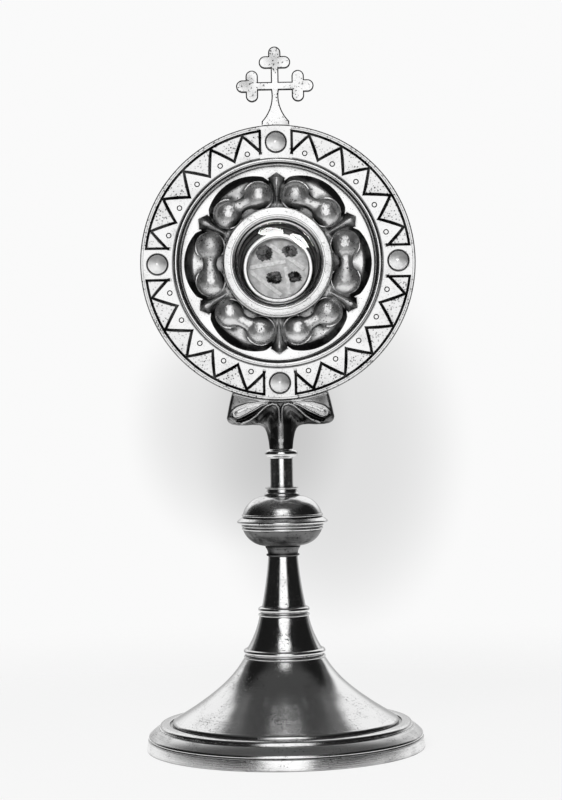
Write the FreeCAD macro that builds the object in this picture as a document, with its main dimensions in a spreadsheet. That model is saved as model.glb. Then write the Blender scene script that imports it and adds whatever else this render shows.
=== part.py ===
"""A turned and engraved reliquary monstrance, about 300 mm tall.

It stands on the XY plane with its stem on the Z axis, and its face looks along -Y.
The foot, stem and knop are turned pieces threaded on a tie rod.  The rod pulls them against the
leaf bracket, which carries the round face plate.  Behind the plate's window a housing with a
hinged door holds the relic capsule.
"""

import FreeCAD, Part
import math
import os

import Sketcher

doc = FreeCAD.newDocument("monstrance")

# ---------------------------------------------------------------------------------------------
# Driving dimensions, in millimetres and degrees
# ---------------------------------------------------------------------------------------------

DIMENSIONS = {
    # clearances
    "fit_gap": 0.05,
    "free_gap": 0.3,
    # foot
    "foot_radius": 59.5,
    "foot_wall": 2.0,
    "band_height": 4.6,
    "band_groove": 0.6,
    "shoulder_width": 4.6,
    "shoulder_height": 9.2,
    "step_width": 5.3,
    "step_height": 11.2,
    "step_inset": 0.8,
    "seat_height": 10.4,
    "skirt_inset": 11.1,
    "skirt_wall": 1.3,
    "skirt_lip": 1.8,
    "skirt_height": 28.2,
    "skirt_top_radius": 17.2,
    "skirt_cap": 1.6,
    # stem rings and cones, from the foot up
    "ring_height": 3.8,
    "ring_groove_depth": 0.7,
    "ring_lip": 0.9,
    "lower_ring_radius": 17.5,
    "lower_bore": 8.5,
    "lower_cone_height": 14.0,
    "lower_cone_base": 16.0,
    "lower_cone_top": 10.5,
    "lower_cone_sag": 0.75,
    "upper_ring_radius": 11.0,
    "upper_bore": 4.5,
    "upper_cone_height": 21.8,
    "upper_cone_base": 9.4,
    "upper_cone_top": 6.3,
    "upper_cone_sag": 0.35,
    # knop and its collars
    "collar_radius": 7.5,
    "collar_neck": 6.4,
    "lower_collar_height": 4.4,
    "upper_collar_height": 3.8,
    "collar_lip": 1.0,
    "knop_radius": 19.4,
    "knop_wall": 1.3,
    "knop_lower_height": 6.8,
    "knop_belt_height": 6.8,
    "knop_upper_height": 7.6,
    "belt_inset": 2.0,
    "belt_step": 0.5,
    "belt_groove_depth": 0.5,
    "tube_radius": 4.95,
    "tube_height": 12.2,
    "bead_radius": 7.1,
    "bead_height": 4.2,
    # tie rod
    "rod_radius": 2.0,
    "rod_gap": 0.1,
    "rod_entry": 11.0,
    "rod_tail": 2.0,
    "washer_radius": 12.0,
    "washer_height": 1.5,
    "nut_radius": 4.6,
    "nut_height": 4.4,
    # leaf bracket
    "bracket_height": 20.7,
    "bracket_depth": 8.0,
    "socket_radius": 5.0,
    "socket_waist": 5.6,
    "socket_height": 12.0,
    "leaf_reach": 23.1,
    "leaf_top": 20.5,
    "leaf_tip_height": 13.2,
    "leaf_hang": 10.2,
    "tongue_width": 10.0,
    "tongue_thick": 2.0,
    # face plate
    "plate_thick": 2.4,
    "plate_band": 15.8,
    "plate_chamfer": 0.4,
    "seat_gap": 0.05,
    "groove_depth": 0.5,
    "groove_width": 1.0,
    "border_inset": 2.3,
    "field_half": 6.3,
    "tooth_pitch": 15.1,
    "tooth_depth": 9.0,
    "tooth_stroke": 0.8,
    "dot_inset": 10.9,
    "dot_radius": 1.2,
    "dot_line": 0.45,
    # stones in their cups
    "stone_inset": 7.4,
    "stone_radius": 4.4,
    "stone_rise": 2.3,
    "cup_wall": 0.3,
    "cup_gap": 0.15,
    "cup_depth": 1.3,
    "cup_floor": 0.5,
    "stud_radius": 0.9,
    "stud_proud": 0.6,
    "stud_nut_radius": 2.0,
    "stud_nut_height": 1.2,
    # moulding, dish and rosette
    "bore_wall": 1.2,
    "moulding_width": 3.0,
    "moulding_rise": 1.2,
    "dish_margin": 1.5,
    "dish_wall": 0.8,
    "dish_depth": 6.2,
    "dish_corner": 1.6,
    "dish_flange": 3.8,
    "rosette_rise": 3.0,
    "petal_margin": 4.4,
    "petal_bulge": 3.5,
    "sepal_angle": 5.6,
    "sepal_drop": 1.2,
    "ball_radius": 6.1,
    "ball_rise": 2.9,
    "ball_gap": 0.2,
    "ball_spread": 14.6,
    "bridge_radius": 3.4,
    "bridge_rise": 1.9,
    # window
    "bezel_skirt": 2.95,
    "bezel_overhang": 1.75,
    "bezel_crown": 4.2,
    "bezel_band": 4.9,
    "bezel_round": 0.9,
    "bezel_lip_drop": 1.2,
    "bezel_ledge": 1.5,
    "ledge_thick": 0.5,
    "glass_inset": 0.8,
    "glass_thick": 1.2,
    "glass_rise": 3.0,
    "glass_seat": 0.6,
    "retainer_height": 1.0,
    # housing and door
    "drum_radius": 18.0,
    "drum_wall": 1.0,
    "drum_start": 2.5,
    "drum_end": 16.0,
    "drum_flange": 4.5,
    "drum_flange_thick": 1.0,
    "door_overhang": 0.6,
    "door_thick": 1.2,
    "plug_wall": 1.1,
    "plug_height": 1.4,
    "tab_width": 6.0,
    "tab_reach": 2.4,
    "knuckle_radius": 1.5,
    "hinge_offset": 2.4,
    "pin_radius": 0.75,
    "knuckle_length": 4.5,
    "door_knuckle": 5.6,
    "knuckle_gap": 0.2,
    "leaf_thick": 0.6,
    "leaf_length": 8.4,
    "pin_head": 1.15,
    "pin_head_height": 0.7,
    # relic capsule
    "case_wall": 0.8,
    "case_drop": 2.2,
    "case_gap": 0.2,
    "case_seat": 3.4,
    "case_depth": 9.0,
    "rim_width": 2.7,
    "rim_rise": 0.8,
    "case_glass": 0.9,
    "pad_gap": 1.1,
    "pad_thick": 1.5,
    "back_thick": 0.8,
    "label_width": 1.3,
    "label_thick": 0.12,
    "relic_radius": 2.2,
    "relic_rise": 0.8,
    "thread_width": 0.5,
    "wax_radius": 4.0,
    "wax_rise": 1.0,
    # cross
    "cross_height": 33.5,
    "cross_thick": 2.0,
    "lobe_radius": 2.65,
    "lobe_reach": 4.1,
    "arm_reach": 9.85,
    "bar_rise": 16.6,
    "bar_width": 3.5,
    "shaft_width": 3.3,
    "cross_foot": 5.9,
    "cross_ankle": 2.2,
    "foot_notch": 0.6,
    "tang_width": 9.0,
    "tang_thick": 1.4,
}

sheet = doc.addObject("Spreadsheet::Sheet", "sizes")
for row, (alias, number) in enumerate(DIMENSIONS.items(), start=1):
    sheet.set(f"A{row}", str(number))
    sheet.setAlias(f"A{row}", alias)
    sheet.set(f"B{row}", alias.replace("_", " "))
doc.recompute()


class Size:
    """A length or an angle: its number, for drawing, and the sheet formula that it is bound to."""

    def __init__(self, number, formula):
        self.number = number
        self.formula = formula

    def __add__(self, other):
        other = size_of(other)
        return Size(self.number + other.number, f"({self.formula} + {other.formula})")

    def __sub__(self, other):
        other = size_of(other)
        return Size(self.number - other.number, f"({self.formula} - {other.formula})")

    def __mul__(self, other):
        other = size_of(other)
        return Size(self.number * other.number, f"({self.formula} * {other.formula})")

    def __truediv__(self, other):
        other = size_of(other)
        return Size(self.number / other.number, f"({self.formula} / {other.formula})")

    def __neg__(self):
        return Size(-self.number, f"(-1 * {self.formula})")

    __radd__ = __add__
    __rmul__ = __mul__

    def __rsub__(self, other):
        return size_of(other) - self


def size_of(value):
    """A Size as it is, or a plain number as a Size."""
    return value if isinstance(value, Size) else Size(float(value), f"({value})")


def dim(alias):
    """The Size of one cell of the sheet."""
    return Size(float(DIMENSIONS[alias]), f"sizes.{alias}")


def root(value):
    return Size(math.sqrt(value.number), f"sqrt({value.formula})")


def arc_middle(start, end, level):
    """The middle of the arc that leaves start running level, or else upright, and ends at end."""
    run = size_of(end[0]) - start[0]
    rise = size_of(end[1]) - start[1]
    chord = root(run * run + rise * rise)
    along, across = (run, rise) if level else (rise, run)
    heading = 1 if along.number > 0 else -1
    forward = chord * (heading * 0.5)
    aside = chord * (chord - along * heading) / (across * 2)
    x, y = (forward, aside) if level else (aside, forward)
    return start[0] + x, start[1] + y


def polar(radius, angle):
    """The two coordinates of a point at an angle, in degrees, from the first axis."""
    radius, angle = size_of(radius), size_of(angle)
    turn = math.radians(angle.number)
    return (
        Size(radius.number * math.cos(turn), f"({radius.formula} * cos({angle.formula}))"),
        Size(radius.number * math.sin(turn), f"({radius.formula} * sin({angle.formula}))"),
    )


# ---------------------------------------------------------------------------------------------
# Ways of making a piece
# ---------------------------------------------------------------------------------------------

NODES = []
FACING = FreeCAD.Rotation(FreeCAD.Vector(1, 0, 0), 90)  # local +Z turned to the front, -Y


def new_body(label):
    body = doc.addObject("PartDesign::Body", label)
    body.Label = label
    NODES.append(body)
    return body


def place(piece, x=0, y=0, z=0, facing=False):
    """Puts a piece at a place that follows the sheet, standing up or facing the front."""
    if facing:
        piece.Placement = FreeCAD.Placement(FreeCAD.Vector(), FACING)
    for axis, value in zip("xyz", (x, y, z)):
        if isinstance(value, Size):
            piece.setExpression(f".Placement.Base.{axis}", value.formula)
    return piece


def new_sketch(body, role, offset=None):
    """A sketch on one of the body's own origin planes, lifted off it by an offset."""
    plane = next(f for f in body.Origin.OriginFeatures if f.Role == role)
    sketch = body.newObject("Sketcher::SketchObject", body.Label + "_sketch")
    sketch.AttachmentSupport = (plane, [""])
    sketch.MapMode = "FlatFace"
    if offset is not None:
        sketch.setExpression(".AttachmentOffset.Base.z", size_of(offset).formula)
    return sketch


def bind(sketch, constraints):
    """Adds (constraint, Size or None) pairs and binds each dimension to its formula."""
    first = sketch.ConstraintCount
    sketch.addConstraint([made for made, _ in constraints])
    for index, (_, size) in enumerate(constraints, start=first):
        if size is not None:
            sketch.setExpression(f"Constraints[{index}]", size.formula)


def fix_point(geometry, position, x, y):
    return [
        (Sketcher.Constraint("DistanceX", -1, 1, geometry, position, x.number), x),
        (Sketcher.Constraint("DistanceY", -1, 1, geometry, position, y.number), y),
    ]


def draw_outline(sketch, path):
    """Draws a closed outline.  A corner is (x, y), reached by a line, or (x, y, via_x, via_y),
    reached by the arc through the point (via_x, via_y)."""
    path = [tuple(size_of(value) for value in corner) for corner in path]
    points = [FreeCAD.Vector(corner[0].number, corner[1].number, 0) for corner in path]
    edges = []
    constraints = []
    for index, corner in enumerate(path):
        start, end = points[index - 1], points[index]
        if len(corner) == 2:
            edge = sketch.addGeometry(Part.LineSegment(start, end), False)
        else:
            middle = FreeCAD.Vector(corner[2].number, corner[3].number, 0)
            edge = sketch.addGeometry(Part.Arc(start, middle, end), False)
            helper = sketch.addGeometry(Part.Point(middle), True)
            constraints += fix_point(helper, 1, corner[2], corner[3])
            constraints.append((Sketcher.Constraint("PointOnObject", helper, 1, edge), None))
        first = 1 if sketch.getPoint(edge, 1).distanceToPoint(start) < 1e-6 else 2
        edges.append((edge, first))
    for index, (edge, first) in enumerate(edges):
        before, before_first = edges[index - 1]
        joint = Sketcher.Constraint("Coincident", before, 3 - before_first, edge, first)
        constraints.append((joint, None))
        constraints += fix_point(edge, first, *path[index - 1][:2])
    bind(sketch, constraints)


def draw_circle(sketch, radius, x=0, y=0):
    radius, x, y = size_of(radius), size_of(x), size_of(y)
    centre = FreeCAD.Vector(x.number, y.number, 0)
    up = FreeCAD.Vector(0, 0, 1)
    edge = sketch.addGeometry(Part.Circle(centre, up, radius.number), False)
    radius_bind = [(Sketcher.Constraint("Radius", edge, radius.number), radius)]
    bind(sketch, radius_bind + fix_point(edge, 3, x, y))


def feature(body, kind, sketch, **formulas):
    """A PartDesign feature on a sketch, with its sizes bound to the sheet."""
    made = body.newObject("PartDesign::" + kind, f"{body.Label}_{kind.lower()}")
    made.Profile = sketch
    for name, size in formulas.items():
        made.setExpression(name, size_of(size).formula)
    body.Tip = made
    return made


def turned(label, path):
    """A piece turned about its own Z axis from (radius, height) corners."""
    body = new_body(label)
    sketch = new_sketch(body, "XZ_Plane")
    draw_outline(sketch, path)
    spin = feature(body, "Revolution", sketch)
    spin.ReferenceAxis = (sketch, ["V_Axis"])
    spin.Angle = 360
    return body


def polar_pattern(body, features, sketch, count, angle=360):
    """Repeats features about the body's Z axis."""
    pattern = body.newObject("PartDesign::PolarPattern", body.Label + "_pattern")
    pattern.Originals = features
    pattern.Axis = (sketch, ["N_Axis"])
    pattern.Angle = angle
    pattern.Occurrences = count
    body.Tip = pattern
    return pattern


def primitive(kind, name, x=0, y=0, z=0, rotation=None, **sizes):
    """A Part primitive whose sizes and place are bound to the sheet."""
    made = doc.addObject("Part::" + kind, name)
    if rotation is not None:
        made.Placement = FreeCAD.Placement(FreeCAD.Vector(), rotation)
    for key, size in sizes.items():
        made.setExpression(key, size_of(size).formula)
    for axis, value in zip("xyz", (x, y, z)):
        made.setExpression(f".Placement.Base.{axis}", size_of(value).formula)
    return made


def boolean(kind, label, **links):
    made = doc.addObject("Part::" + kind, label)
    for key, link in links.items():
        setattr(made, key, link)
    return made


def keep(piece, label):
    """Names a Part object as one of the sub-parts."""
    piece.Label = label
    NODES.append(piece)
    return piece


# ---------------------------------------------------------------------------------------------
# Foot: a cast base ring and a spun skirt that stands in its seat
# ---------------------------------------------------------------------------------------------

foot_radius = dim("foot_radius")
foot_wall = dim("foot_wall")
band_height = dim("band_height")
groove_top = band_height + dim("band_groove")
band_groove_radius = foot_radius - dim("band_groove")
shoulder_radius = foot_radius - dim("shoulder_width")
shoulder_height = dim("shoulder_height")
step_outer = shoulder_radius - dim("step_inset")
step_inner = shoulder_radius - dim("step_width")
step_height = dim("step_height")
shoulder = (shoulder_radius, shoulder_height)
step_crown = (step_inner + dim("step_inset"), step_height)
skirt_radius = foot_radius - dim("skirt_inset")
seat_height = dim("seat_height")
seat_floor = seat_height - foot_wall
seat_radius = skirt_radius - foot_wall

turned(
    "foot_base_ring",
    [
        (foot_radius, 0),
        (foot_radius, band_height),
        (band_groove_radius, band_height),
        (band_groove_radius, groove_top),
        (*shoulder, *arc_middle((band_groove_radius, groove_top), shoulder, level=False)),
        (step_outer, shoulder_height),
        (*step_crown, *arc_middle(step_crown, (step_outer, shoulder_height), level=True)),
        (step_inner, step_height),
        (step_inner, seat_height),
        (seat_radius, seat_height),
        (seat_radius, seat_floor),
        (step_inner + foot_wall, seat_floor),
        (shoulder_radius - foot_wall, shoulder_height - foot_wall),
        (foot_radius - foot_wall, band_height),
        (foot_radius - foot_wall, 0),
    ],
)

skirt_height = dim("skirt_height")
skirt_wall = dim("skirt_wall")
skirt_lip = dim("skirt_lip")
skirt_top = dim("skirt_top_radius")
skirt_cap = skirt_height - dim("skirt_cap")
skirt_run = skirt_radius - skirt_top
# the flare is a straight cone near the lip and a hollow curve above it
flare_radius = skirt_top + skirt_run * 0.66
flare_height = skirt_lip + (skirt_height - skirt_lip) * 0.245
hollow_radius = skirt_top + skirt_run * 0.26
hollow_height = skirt_lip + (skirt_height - skirt_lip) * 0.61

place(
    turned(
        "foot_skirt",
        [
            (skirt_radius, 0),
            (skirt_radius, skirt_lip),
            (flare_radius, flare_height),
            (skirt_top, skirt_height, hollow_radius, hollow_height),
            (dim("lower_bore"), skirt_height),
            (dim("lower_bore"), skirt_cap),
            (skirt_top - skirt_wall * 1.6, skirt_cap),
            (
                flare_radius - skirt_wall,
                flare_height - skirt_wall,
                hollow_radius - skirt_wall,
                hollow_height - skirt_wall * 0.8,
            ),
            (skirt_radius - foot_wall, 0),
        ],
    ),
    z=seat_height,
)
level = seat_height + skirt_height
skirt_cap_level = seat_height + skirt_cap


# ---------------------------------------------------------------------------------------------
# Stem: grooved rings between hollow cones
# ---------------------------------------------------------------------------------------------


def grooved_ring(label, radius, bore, neck, base):
    """A ring with a groove between two lips.  Its top closes in to the neck of what it carries."""
    lip = dim("ring_lip")
    height = dim("ring_height")
    floor = radius - dim("ring_groove_depth")
    ring = turned(
        label,
        [
            (bore, 0),
            (radius - lip * 0.3, 0),
            (radius - lip * 0.3, lip, radius, lip * 0.5),
            (floor, lip * 1.2),
            (floor, lip * 2),
            (radius - lip * 0.3, lip * 2.2),
            (radius - lip * 0.3, height - lip * 0.4, radius, height - lip),
            (neck, height),
            (bore, height),
        ],
    )
    return place(ring, z=base)


def hollow_cone(label, foot, top, height, sag, bore, base):
    """A turned cone with a slightly hollow side, bored through."""
    cone = turned(
        label,
        [
            (bore, 0),
            (foot, 0),
            (top, height, (foot + top) * 0.5 - sag, height * 0.5),
            (bore, height),
        ],
    )
    return place(cone, z=base)


lower_bore = dim("lower_bore")
upper_bore = dim("upper_bore")
ring_height = dim("ring_height")
lower_base, lower_top = dim("lower_cone_base"), dim("lower_cone_top")
upper_base, upper_top = dim("upper_cone_base"), dim("upper_cone_top")
lower_height, lower_sag = dim("lower_cone_height"), dim("lower_cone_sag")
upper_height, upper_sag = dim("upper_cone_height"), dim("upper_cone_sag")

grooved_ring("stem_ring_lower", dim("lower_ring_radius"), lower_bore, lower_base, level)
level = level + ring_height
hollow_cone("stem_cone_lower", lower_base, lower_top, lower_height, lower_sag, lower_bore, level)
level = level + lower_height
grooved_ring("stem_ring_upper", dim("upper_ring_radius"), upper_bore, upper_base, level)
level = level + ring_height
hollow_cone("stem_cone_upper", upper_base, upper_top, upper_height, upper_sag, upper_bore, level)
level = level + upper_height


# ---------------------------------------------------------------------------------------------
# Knop: two spun bowls on a beaded belt, between two collars
# ---------------------------------------------------------------------------------------------

rod_bore = dim("rod_radius") + dim("rod_gap")
collar_radius = dim("collar_radius")
collar_neck = dim("collar_neck")
collar_lip = dim("collar_lip")


def heights_from(height, turned_over):
    """Gives heights as they are, or measured down from the top of a piece that is turned over."""
    return (lambda value: height - value) if turned_over else size_of


def collar(label, height, base, turned_over=False):
    """A small collar with a hollow side.  Its wide lip is on the side of the knop."""
    at = heights_from(height, turned_over)
    narrow_lip = collar_neck + collar_lip * 0.6
    hollow = (collar_neck + collar_lip * 0.2, at((height - collar_lip) * 0.62))
    body = turned(
        label,
        [
            (rod_bore, at(0)),
            (narrow_lip, at(0)),
            (narrow_lip, at(collar_lip * 0.8)),
            (collar_neck, at(collar_lip * 0.8)),
            (collar_radius, at(height - collar_lip), *hollow),
            (collar_radius, at(height)),
            (rod_bore, at(height)),
        ],
    )
    return place(body, z=base)


knop_radius = dim("knop_radius")
knop_wall = dim("knop_wall")
belt_height = dim("knop_belt_height")
bowl_radius = knop_radius - dim("belt_inset") - dim("belt_step")
neck_radius = collar_radius + knop_wall * 0.5


def knop_bowl(label, height, base, bulge, turned_over=False):
    """A spun bowl with a floor around the tie rod.  Its bulge is the place of the arc's middle,
    as shares of the bowl's flare and height."""
    at = heights_from(height, turned_over)
    outer = neck_radius + (bowl_radius - neck_radius) * bulge[0]
    body = turned(
        label,
        [
            (rod_bore, at(0)),
            (neck_radius, at(0)),
            (bowl_radius, at(height), outer, at(height * bulge[1])),
            (bowl_radius - knop_wall, at(height)),
            (
                neck_radius,
                at(knop_wall),
                outer - knop_wall * 0.8,
                at(height * bulge[1] + knop_wall * 0.7),
            ),
            (rod_bore, at(knop_wall)),
        ],
    )
    return place(body, z=base)


lower_collar_height = dim("lower_collar_height")
collar("knop_collar_lower", lower_collar_height, level)
level = level + lower_collar_height
knop_lower_height = dim("knop_lower_height")
knop_bowl("knop_bowl_lower", knop_lower_height, level, bulge=(0.64, 0.33))
level = level + knop_lower_height

belt_inset = dim("belt_inset")
belt_outer = knop_radius - belt_inset
belt_floor = belt_outer - dim("belt_groove_depth")
bead_edge = belt_outer - dim("belt_step") * 0.4
place(
    turned(
        "knop_belt",
        [
            (bowl_radius - knop_wall, 0),
            (bead_edge, 0),
            (bead_edge, belt_height * 0.16, belt_outer, belt_height * 0.08),
            (belt_floor, belt_height * 0.2),
            (belt_floor, belt_height * 0.26),
            (knop_radius - belt_inset * 0.15, belt_height * 0.36),
            (
                knop_radius - belt_inset * 0.15,
                belt_height * 0.62,
                knop_radius,
                belt_height * 0.49,
            ),
            (belt_outer, belt_height * 0.76),
            (belt_floor + dim("belt_groove_depth") * 0.4, belt_height * 0.78),
            (bead_edge, belt_height, belt_outer, belt_height * 0.9),
            (bowl_radius - knop_wall, belt_height),
        ],
    ),
    z=level,
)
level = level + belt_height
knop_upper_height = dim("knop_upper_height")
knop_bowl("knop_bowl_upper", knop_upper_height, level, bulge=(0.76, 0.46), turned_over=True)
level = level + knop_upper_height
upper_collar_height = dim("upper_collar_height")
collar("knop_collar_upper", upper_collar_height, level, turned_over=True)
level = level + upper_collar_height


# ---------------------------------------------------------------------------------------------
# Neck: a plain tube and the bead under the bracket
# ---------------------------------------------------------------------------------------------

tube_radius = dim("tube_radius")
tube_height = dim("tube_height")
bead_height = dim("bead_height")
bead_flat = bead_height * 0.14

place(
    turned(
        "stem_tube",
        [(rod_bore, 0), (tube_radius, 0), (tube_radius, tube_height), (rod_bore, tube_height)],
    ),
    z=level,
)
level = level + tube_height
place(
    turned(
        "stem_bead",
        [
            (rod_bore, 0),
            (tube_radius, 0),
            (tube_radius + bead_flat, bead_flat),
            (
                tube_radius + bead_flat,
                bead_height - bead_flat,
                dim("bead_radius"),
                bead_height * 0.5,
            ),
            (tube_radius, bead_height),
            (rod_bore, bead_height),
        ],
    ),
    z=level,
)
level = level + bead_height
bracket_base = level


# ---------------------------------------------------------------------------------------------
# Tie rod, with its washer and nut under the foot's cap
# ---------------------------------------------------------------------------------------------

rod_radius = dim("rod_radius")
washer_height = dim("washer_height")
nut_height = dim("nut_height")
washer_level = skirt_cap_level - washer_height
nut_level = washer_level - nut_height
rod_start = nut_level - dim("rod_tail")
rod_end = bracket_base + dim("rod_entry")

place(
    turned(
        "tie_rod",
        [
            (0, 0),
            (rod_radius, 0),
            (rod_radius, rod_end - rod_start),
            (0, rod_end - rod_start),
        ],
    ),
    z=rod_start,
)
place(
    turned(
        "tension_washer",
        [
            (rod_bore, 0),
            (dim("washer_radius"), 0),
            (dim("washer_radius"), washer_height),
            (rod_bore, washer_height),
        ],
    ),
    z=washer_level,
)

nut = new_body("tie_nut")
nut_sketch = new_sketch(nut, "XY_Plane")
draw_outline(nut_sketch, [polar(dim("nut_radius"), 60 * corner) for corner in range(6)])
draw_circle(nut_sketch, rod_bore)
feature(nut, "Pad", nut_sketch, Length=nut_height)
place(nut, z=nut_level)


# ---------------------------------------------------------------------------------------------
# Levels in the head.  Its pieces are drawn with +Z to the front, and z is 0 in the plate's middle
# ---------------------------------------------------------------------------------------------

fit_gap = dim("fit_gap")
plate_half = dim("plate_thick") * 0.5
floor_level = plate_half - dim("dish_depth")
drum_inner = dim("drum_radius")
drum_outer = drum_inner + dim("drum_wall")
bezel_skirt = drum_outer + dim("bezel_skirt")
bezel_radius = bezel_skirt + dim("bezel_overhang")
ball_radius = dim("ball_radius")
ball_circle = bezel_radius + ball_radius + dim("ball_gap")
petal_reach = ball_circle + ball_radius + dim("petal_margin")
dish_inner = petal_reach + dim("dish_margin")
dish_wall = dim("dish_wall")
plate_bore = dish_inner + dim("bore_wall")
plate_radius = plate_bore + dim("plate_band")
bracket_height = dim("bracket_height")
head_level = bracket_base + bracket_height + plate_radius
stone_circle = plate_radius - dim("stone_inset")


# ---------------------------------------------------------------------------------------------
# Bracket: a cast double leaf on a socket.  Its tongue stands behind the plate
# ---------------------------------------------------------------------------------------------

bracket_depth = dim("bracket_depth")
tongue_thick = dim("tongue_thick")
tongue_half = dim("tongue_width") * 0.5
leaf_top = dim("leaf_top")
leaf_reach = dim("leaf_reach")
leaf_hang = dim("leaf_hang")
leaf_tip = dim("leaf_tip_height")
socket_waist = dim("socket_waist")
saddle_radius = plate_radius + dim("seat_gap")
saddle_centre = bracket_height + plate_radius
saddle_corner = saddle_centre - root(saddle_radius * saddle_radius - leaf_top * leaf_top)
saddle_floor = saddle_centre - saddle_radius
stone_drop = saddle_centre - stone_circle

bracket = new_body("leaf_bracket")
leaf_sketch = new_sketch(bracket, "XZ_Plane", bracket_depth * -0.5)
draw_outline(
    leaf_sketch,
    [
        (-leaf_top, saddle_corner, 0, saddle_floor),
        (-leaf_reach, leaf_tip, leaf_reach * -0.95, leaf_tip + (saddle_corner - leaf_tip) * 0.5),
        (leaf_reach * -0.8, leaf_hang, leaf_reach * -0.97, leaf_hang + (leaf_tip - leaf_hang) * 0.25),
        (socket_waist * -1.7, leaf_hang),
        (-socket_waist, leaf_hang * 0.45, socket_waist * -1.13, leaf_hang * 0.75),
        (socket_waist, leaf_hang * 0.45),
        (socket_waist * 1.7, leaf_hang, socket_waist * 1.13, leaf_hang * 0.75),
        (leaf_reach * 0.8, leaf_hang),
        (leaf_reach, leaf_tip, leaf_reach * 0.97, leaf_hang + (leaf_tip - leaf_hang) * 0.25),
        (leaf_top, saddle_corner, leaf_reach * 0.95, leaf_tip + (saddle_corner - leaf_tip) * 0.5),
    ],
)
feature(bracket, "Pad", leaf_sketch, Length=bracket_depth)
socket_sketch = new_sketch(bracket, "XZ_Plane")
draw_outline(
    socket_sketch,
    [
        (0, 0),
        (dim("socket_radius"), 0),
        (socket_waist, leaf_hang * 0.5),
        (dim("socket_radius"), dim("socket_height")),
        (0, dim("socket_height")),
    ],
)
socket_turn = feature(bracket, "Revolution", socket_sketch)
socket_turn.ReferenceAxis = (socket_sketch, ["V_Axis"])
socket_turn.Angle = 360
tongue_sketch = new_sketch(bracket, "XZ_Plane", -(plate_half + tongue_thick))
tongue_top = stone_drop + tongue_half * 0.8
draw_outline(
    tongue_sketch,
    [
        (-tongue_half, bracket_height * 0.8),
        (tongue_half, bracket_height * 0.8),
        (tongue_half, tongue_top),
        (-tongue_half, tongue_top),
    ],
)
draw_circle(tongue_sketch, dim("stud_radius") + fit_gap * 2, 0, stone_drop)
feature(bracket, "Pad", tongue_sketch, Length=tongue_thick)
rod_hole_sketch = new_sketch(bracket, "XY_Plane")
draw_circle(rod_hole_sketch, rod_bore)
rod_hole = feature(bracket, "Pocket", rod_hole_sketch, Length=dim("rod_entry") + dim("free_gap"))
rod_hole.Reversed = True
place(bracket, z=bracket_base)


# ---------------------------------------------------------------------------------------------
# Face plate: a flat ring engraved with toothed borders and punched circlets
# ---------------------------------------------------------------------------------------------

plate = new_body("face_plate")
plate_sketch = new_sketch(plate, "XY_Plane", -plate_half)
draw_circle(plate_sketch, plate_radius)
draw_circle(plate_sketch, plate_bore)
plate_pad = feature(plate, "Pad", plate_sketch, Length=dim("plate_thick"))
doc.recompute()


def edge_at(shape, radius, level):
    """The name of the circular edge with that radius and height."""
    for index, edge in enumerate(shape.Edges, start=1):
        curve = edge.Curve
        if isinstance(curve, Part.Circle) and abs(curve.Radius - radius.number) < 1e-4:
            if abs(curve.Center.z - level.number) < 1e-4:
                return f"Edge{index}"
    raise ValueError("no such edge")


bevel = plate.newObject("PartDesign::Chamfer", "face_plate_bevel")
bevel.Base = (plate_pad, [edge_at(plate_pad.Shape, plate_radius, plate_half)])
bevel.setExpression("Size", dim("plate_chamfer").formula)
plate.Tip = bevel

groove_half = dim("groove_width") * 0.5
border_radius = plate_radius - dim("border_inset")
border_outer = border_radius + groove_half
border_inner = border_radius - groove_half
field_half = dim("field_half")
pitch = dim("tooth_pitch")
tooth_outer = border_inner - dim("tooth_stroke") * 0.4
tooth_inner = tooth_outer - dim("tooth_depth")
stroke = dim("tooth_stroke")
TEETH = 5
QUARTER = 45


def beside_field(radius, across):
    """The point at a radius, on the line that runs beside a stone's field."""
    return root(radius * radius - across * across), across


def engraving(*outlines):
    """A pocket of the engraving's depth, from closed outlines on the plate's front."""
    sketch = new_sketch(plate, "XY_Plane", plate_half)
    for path in outlines:
        draw_outline(sketch, path)
    return feature(plate, "Pocket", sketch, Length=dim("groove_depth"))


def tooth_line(shift):
    """The toothed line of one quarter, moved outwards by a shift."""
    line = []
    for corner in range(TEETH * 2 + 1):
        radius = tooth_inner if corner % 2 == 0 else tooth_outer
        angle = QUARTER + pitch * ((corner - TEETH) * 0.5)
        line.append(polar(radius + shift, angle))
    return line


near, far = field_half, field_half + dim("groove_width")
field_start = tooth_inner - stroke
outer_start = beside_field(border_outer, near)
inner_start = beside_field(border_inner, far)
middle_outer = polar(border_outer, QUARTER)
middle_inner = polar(border_inner, QUARTER)

border = engraving(
    [
        beside_field(field_start, near),
        outer_start,
        (outer_start[1], outer_start[0], *middle_outer),
        tuple(reversed(beside_field(field_start, near))),
        tuple(reversed(beside_field(field_start, far))),
        tuple(reversed(inner_start)),
        (*inner_start, *middle_inner),
        beside_field(field_start, far),
    ]
)
teeth = engraving(tooth_line(stroke) + tooth_line(-stroke)[::-1])

dots_sketch = new_sketch(plate, "XY_Plane", plate_half)
for dot in range(TEETH):
    centre = polar(plate_radius - dim("dot_inset"), QUARTER + pitch * (dot - TEETH // 2))
    draw_circle(dots_sketch, dim("dot_radius"), *centre)
    draw_circle(dots_sketch, dim("dot_radius") - dim("dot_line"), *centre)
dots = feature(plate, "Pocket", dots_sketch, Length=dim("groove_depth"))

cup_radius = dim("stone_radius") + dim("cup_wall")
stone_seat_sketch = new_sketch(plate, "XY_Plane", plate_half)
draw_circle(stone_seat_sketch, cup_radius + dim("cup_gap"), stone_circle, 0)
stone_seat = feature(plate, "Pocket", stone_seat_sketch, Length=dim("cup_depth"))
stud_hole_sketch = new_sketch(plate, "XY_Plane", plate_half)
draw_circle(stud_hole_sketch, dim("stud_radius") + fit_gap * 2, stone_circle, 0)
stud_hole = feature(plate, "Pocket", stud_hole_sketch, Length=dim("plate_thick"))
polar_pattern(plate, [border, teeth, dots, stone_seat, stud_hole], plate_sketch, 4)
place(plate, z=head_level, facing=True)


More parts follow.
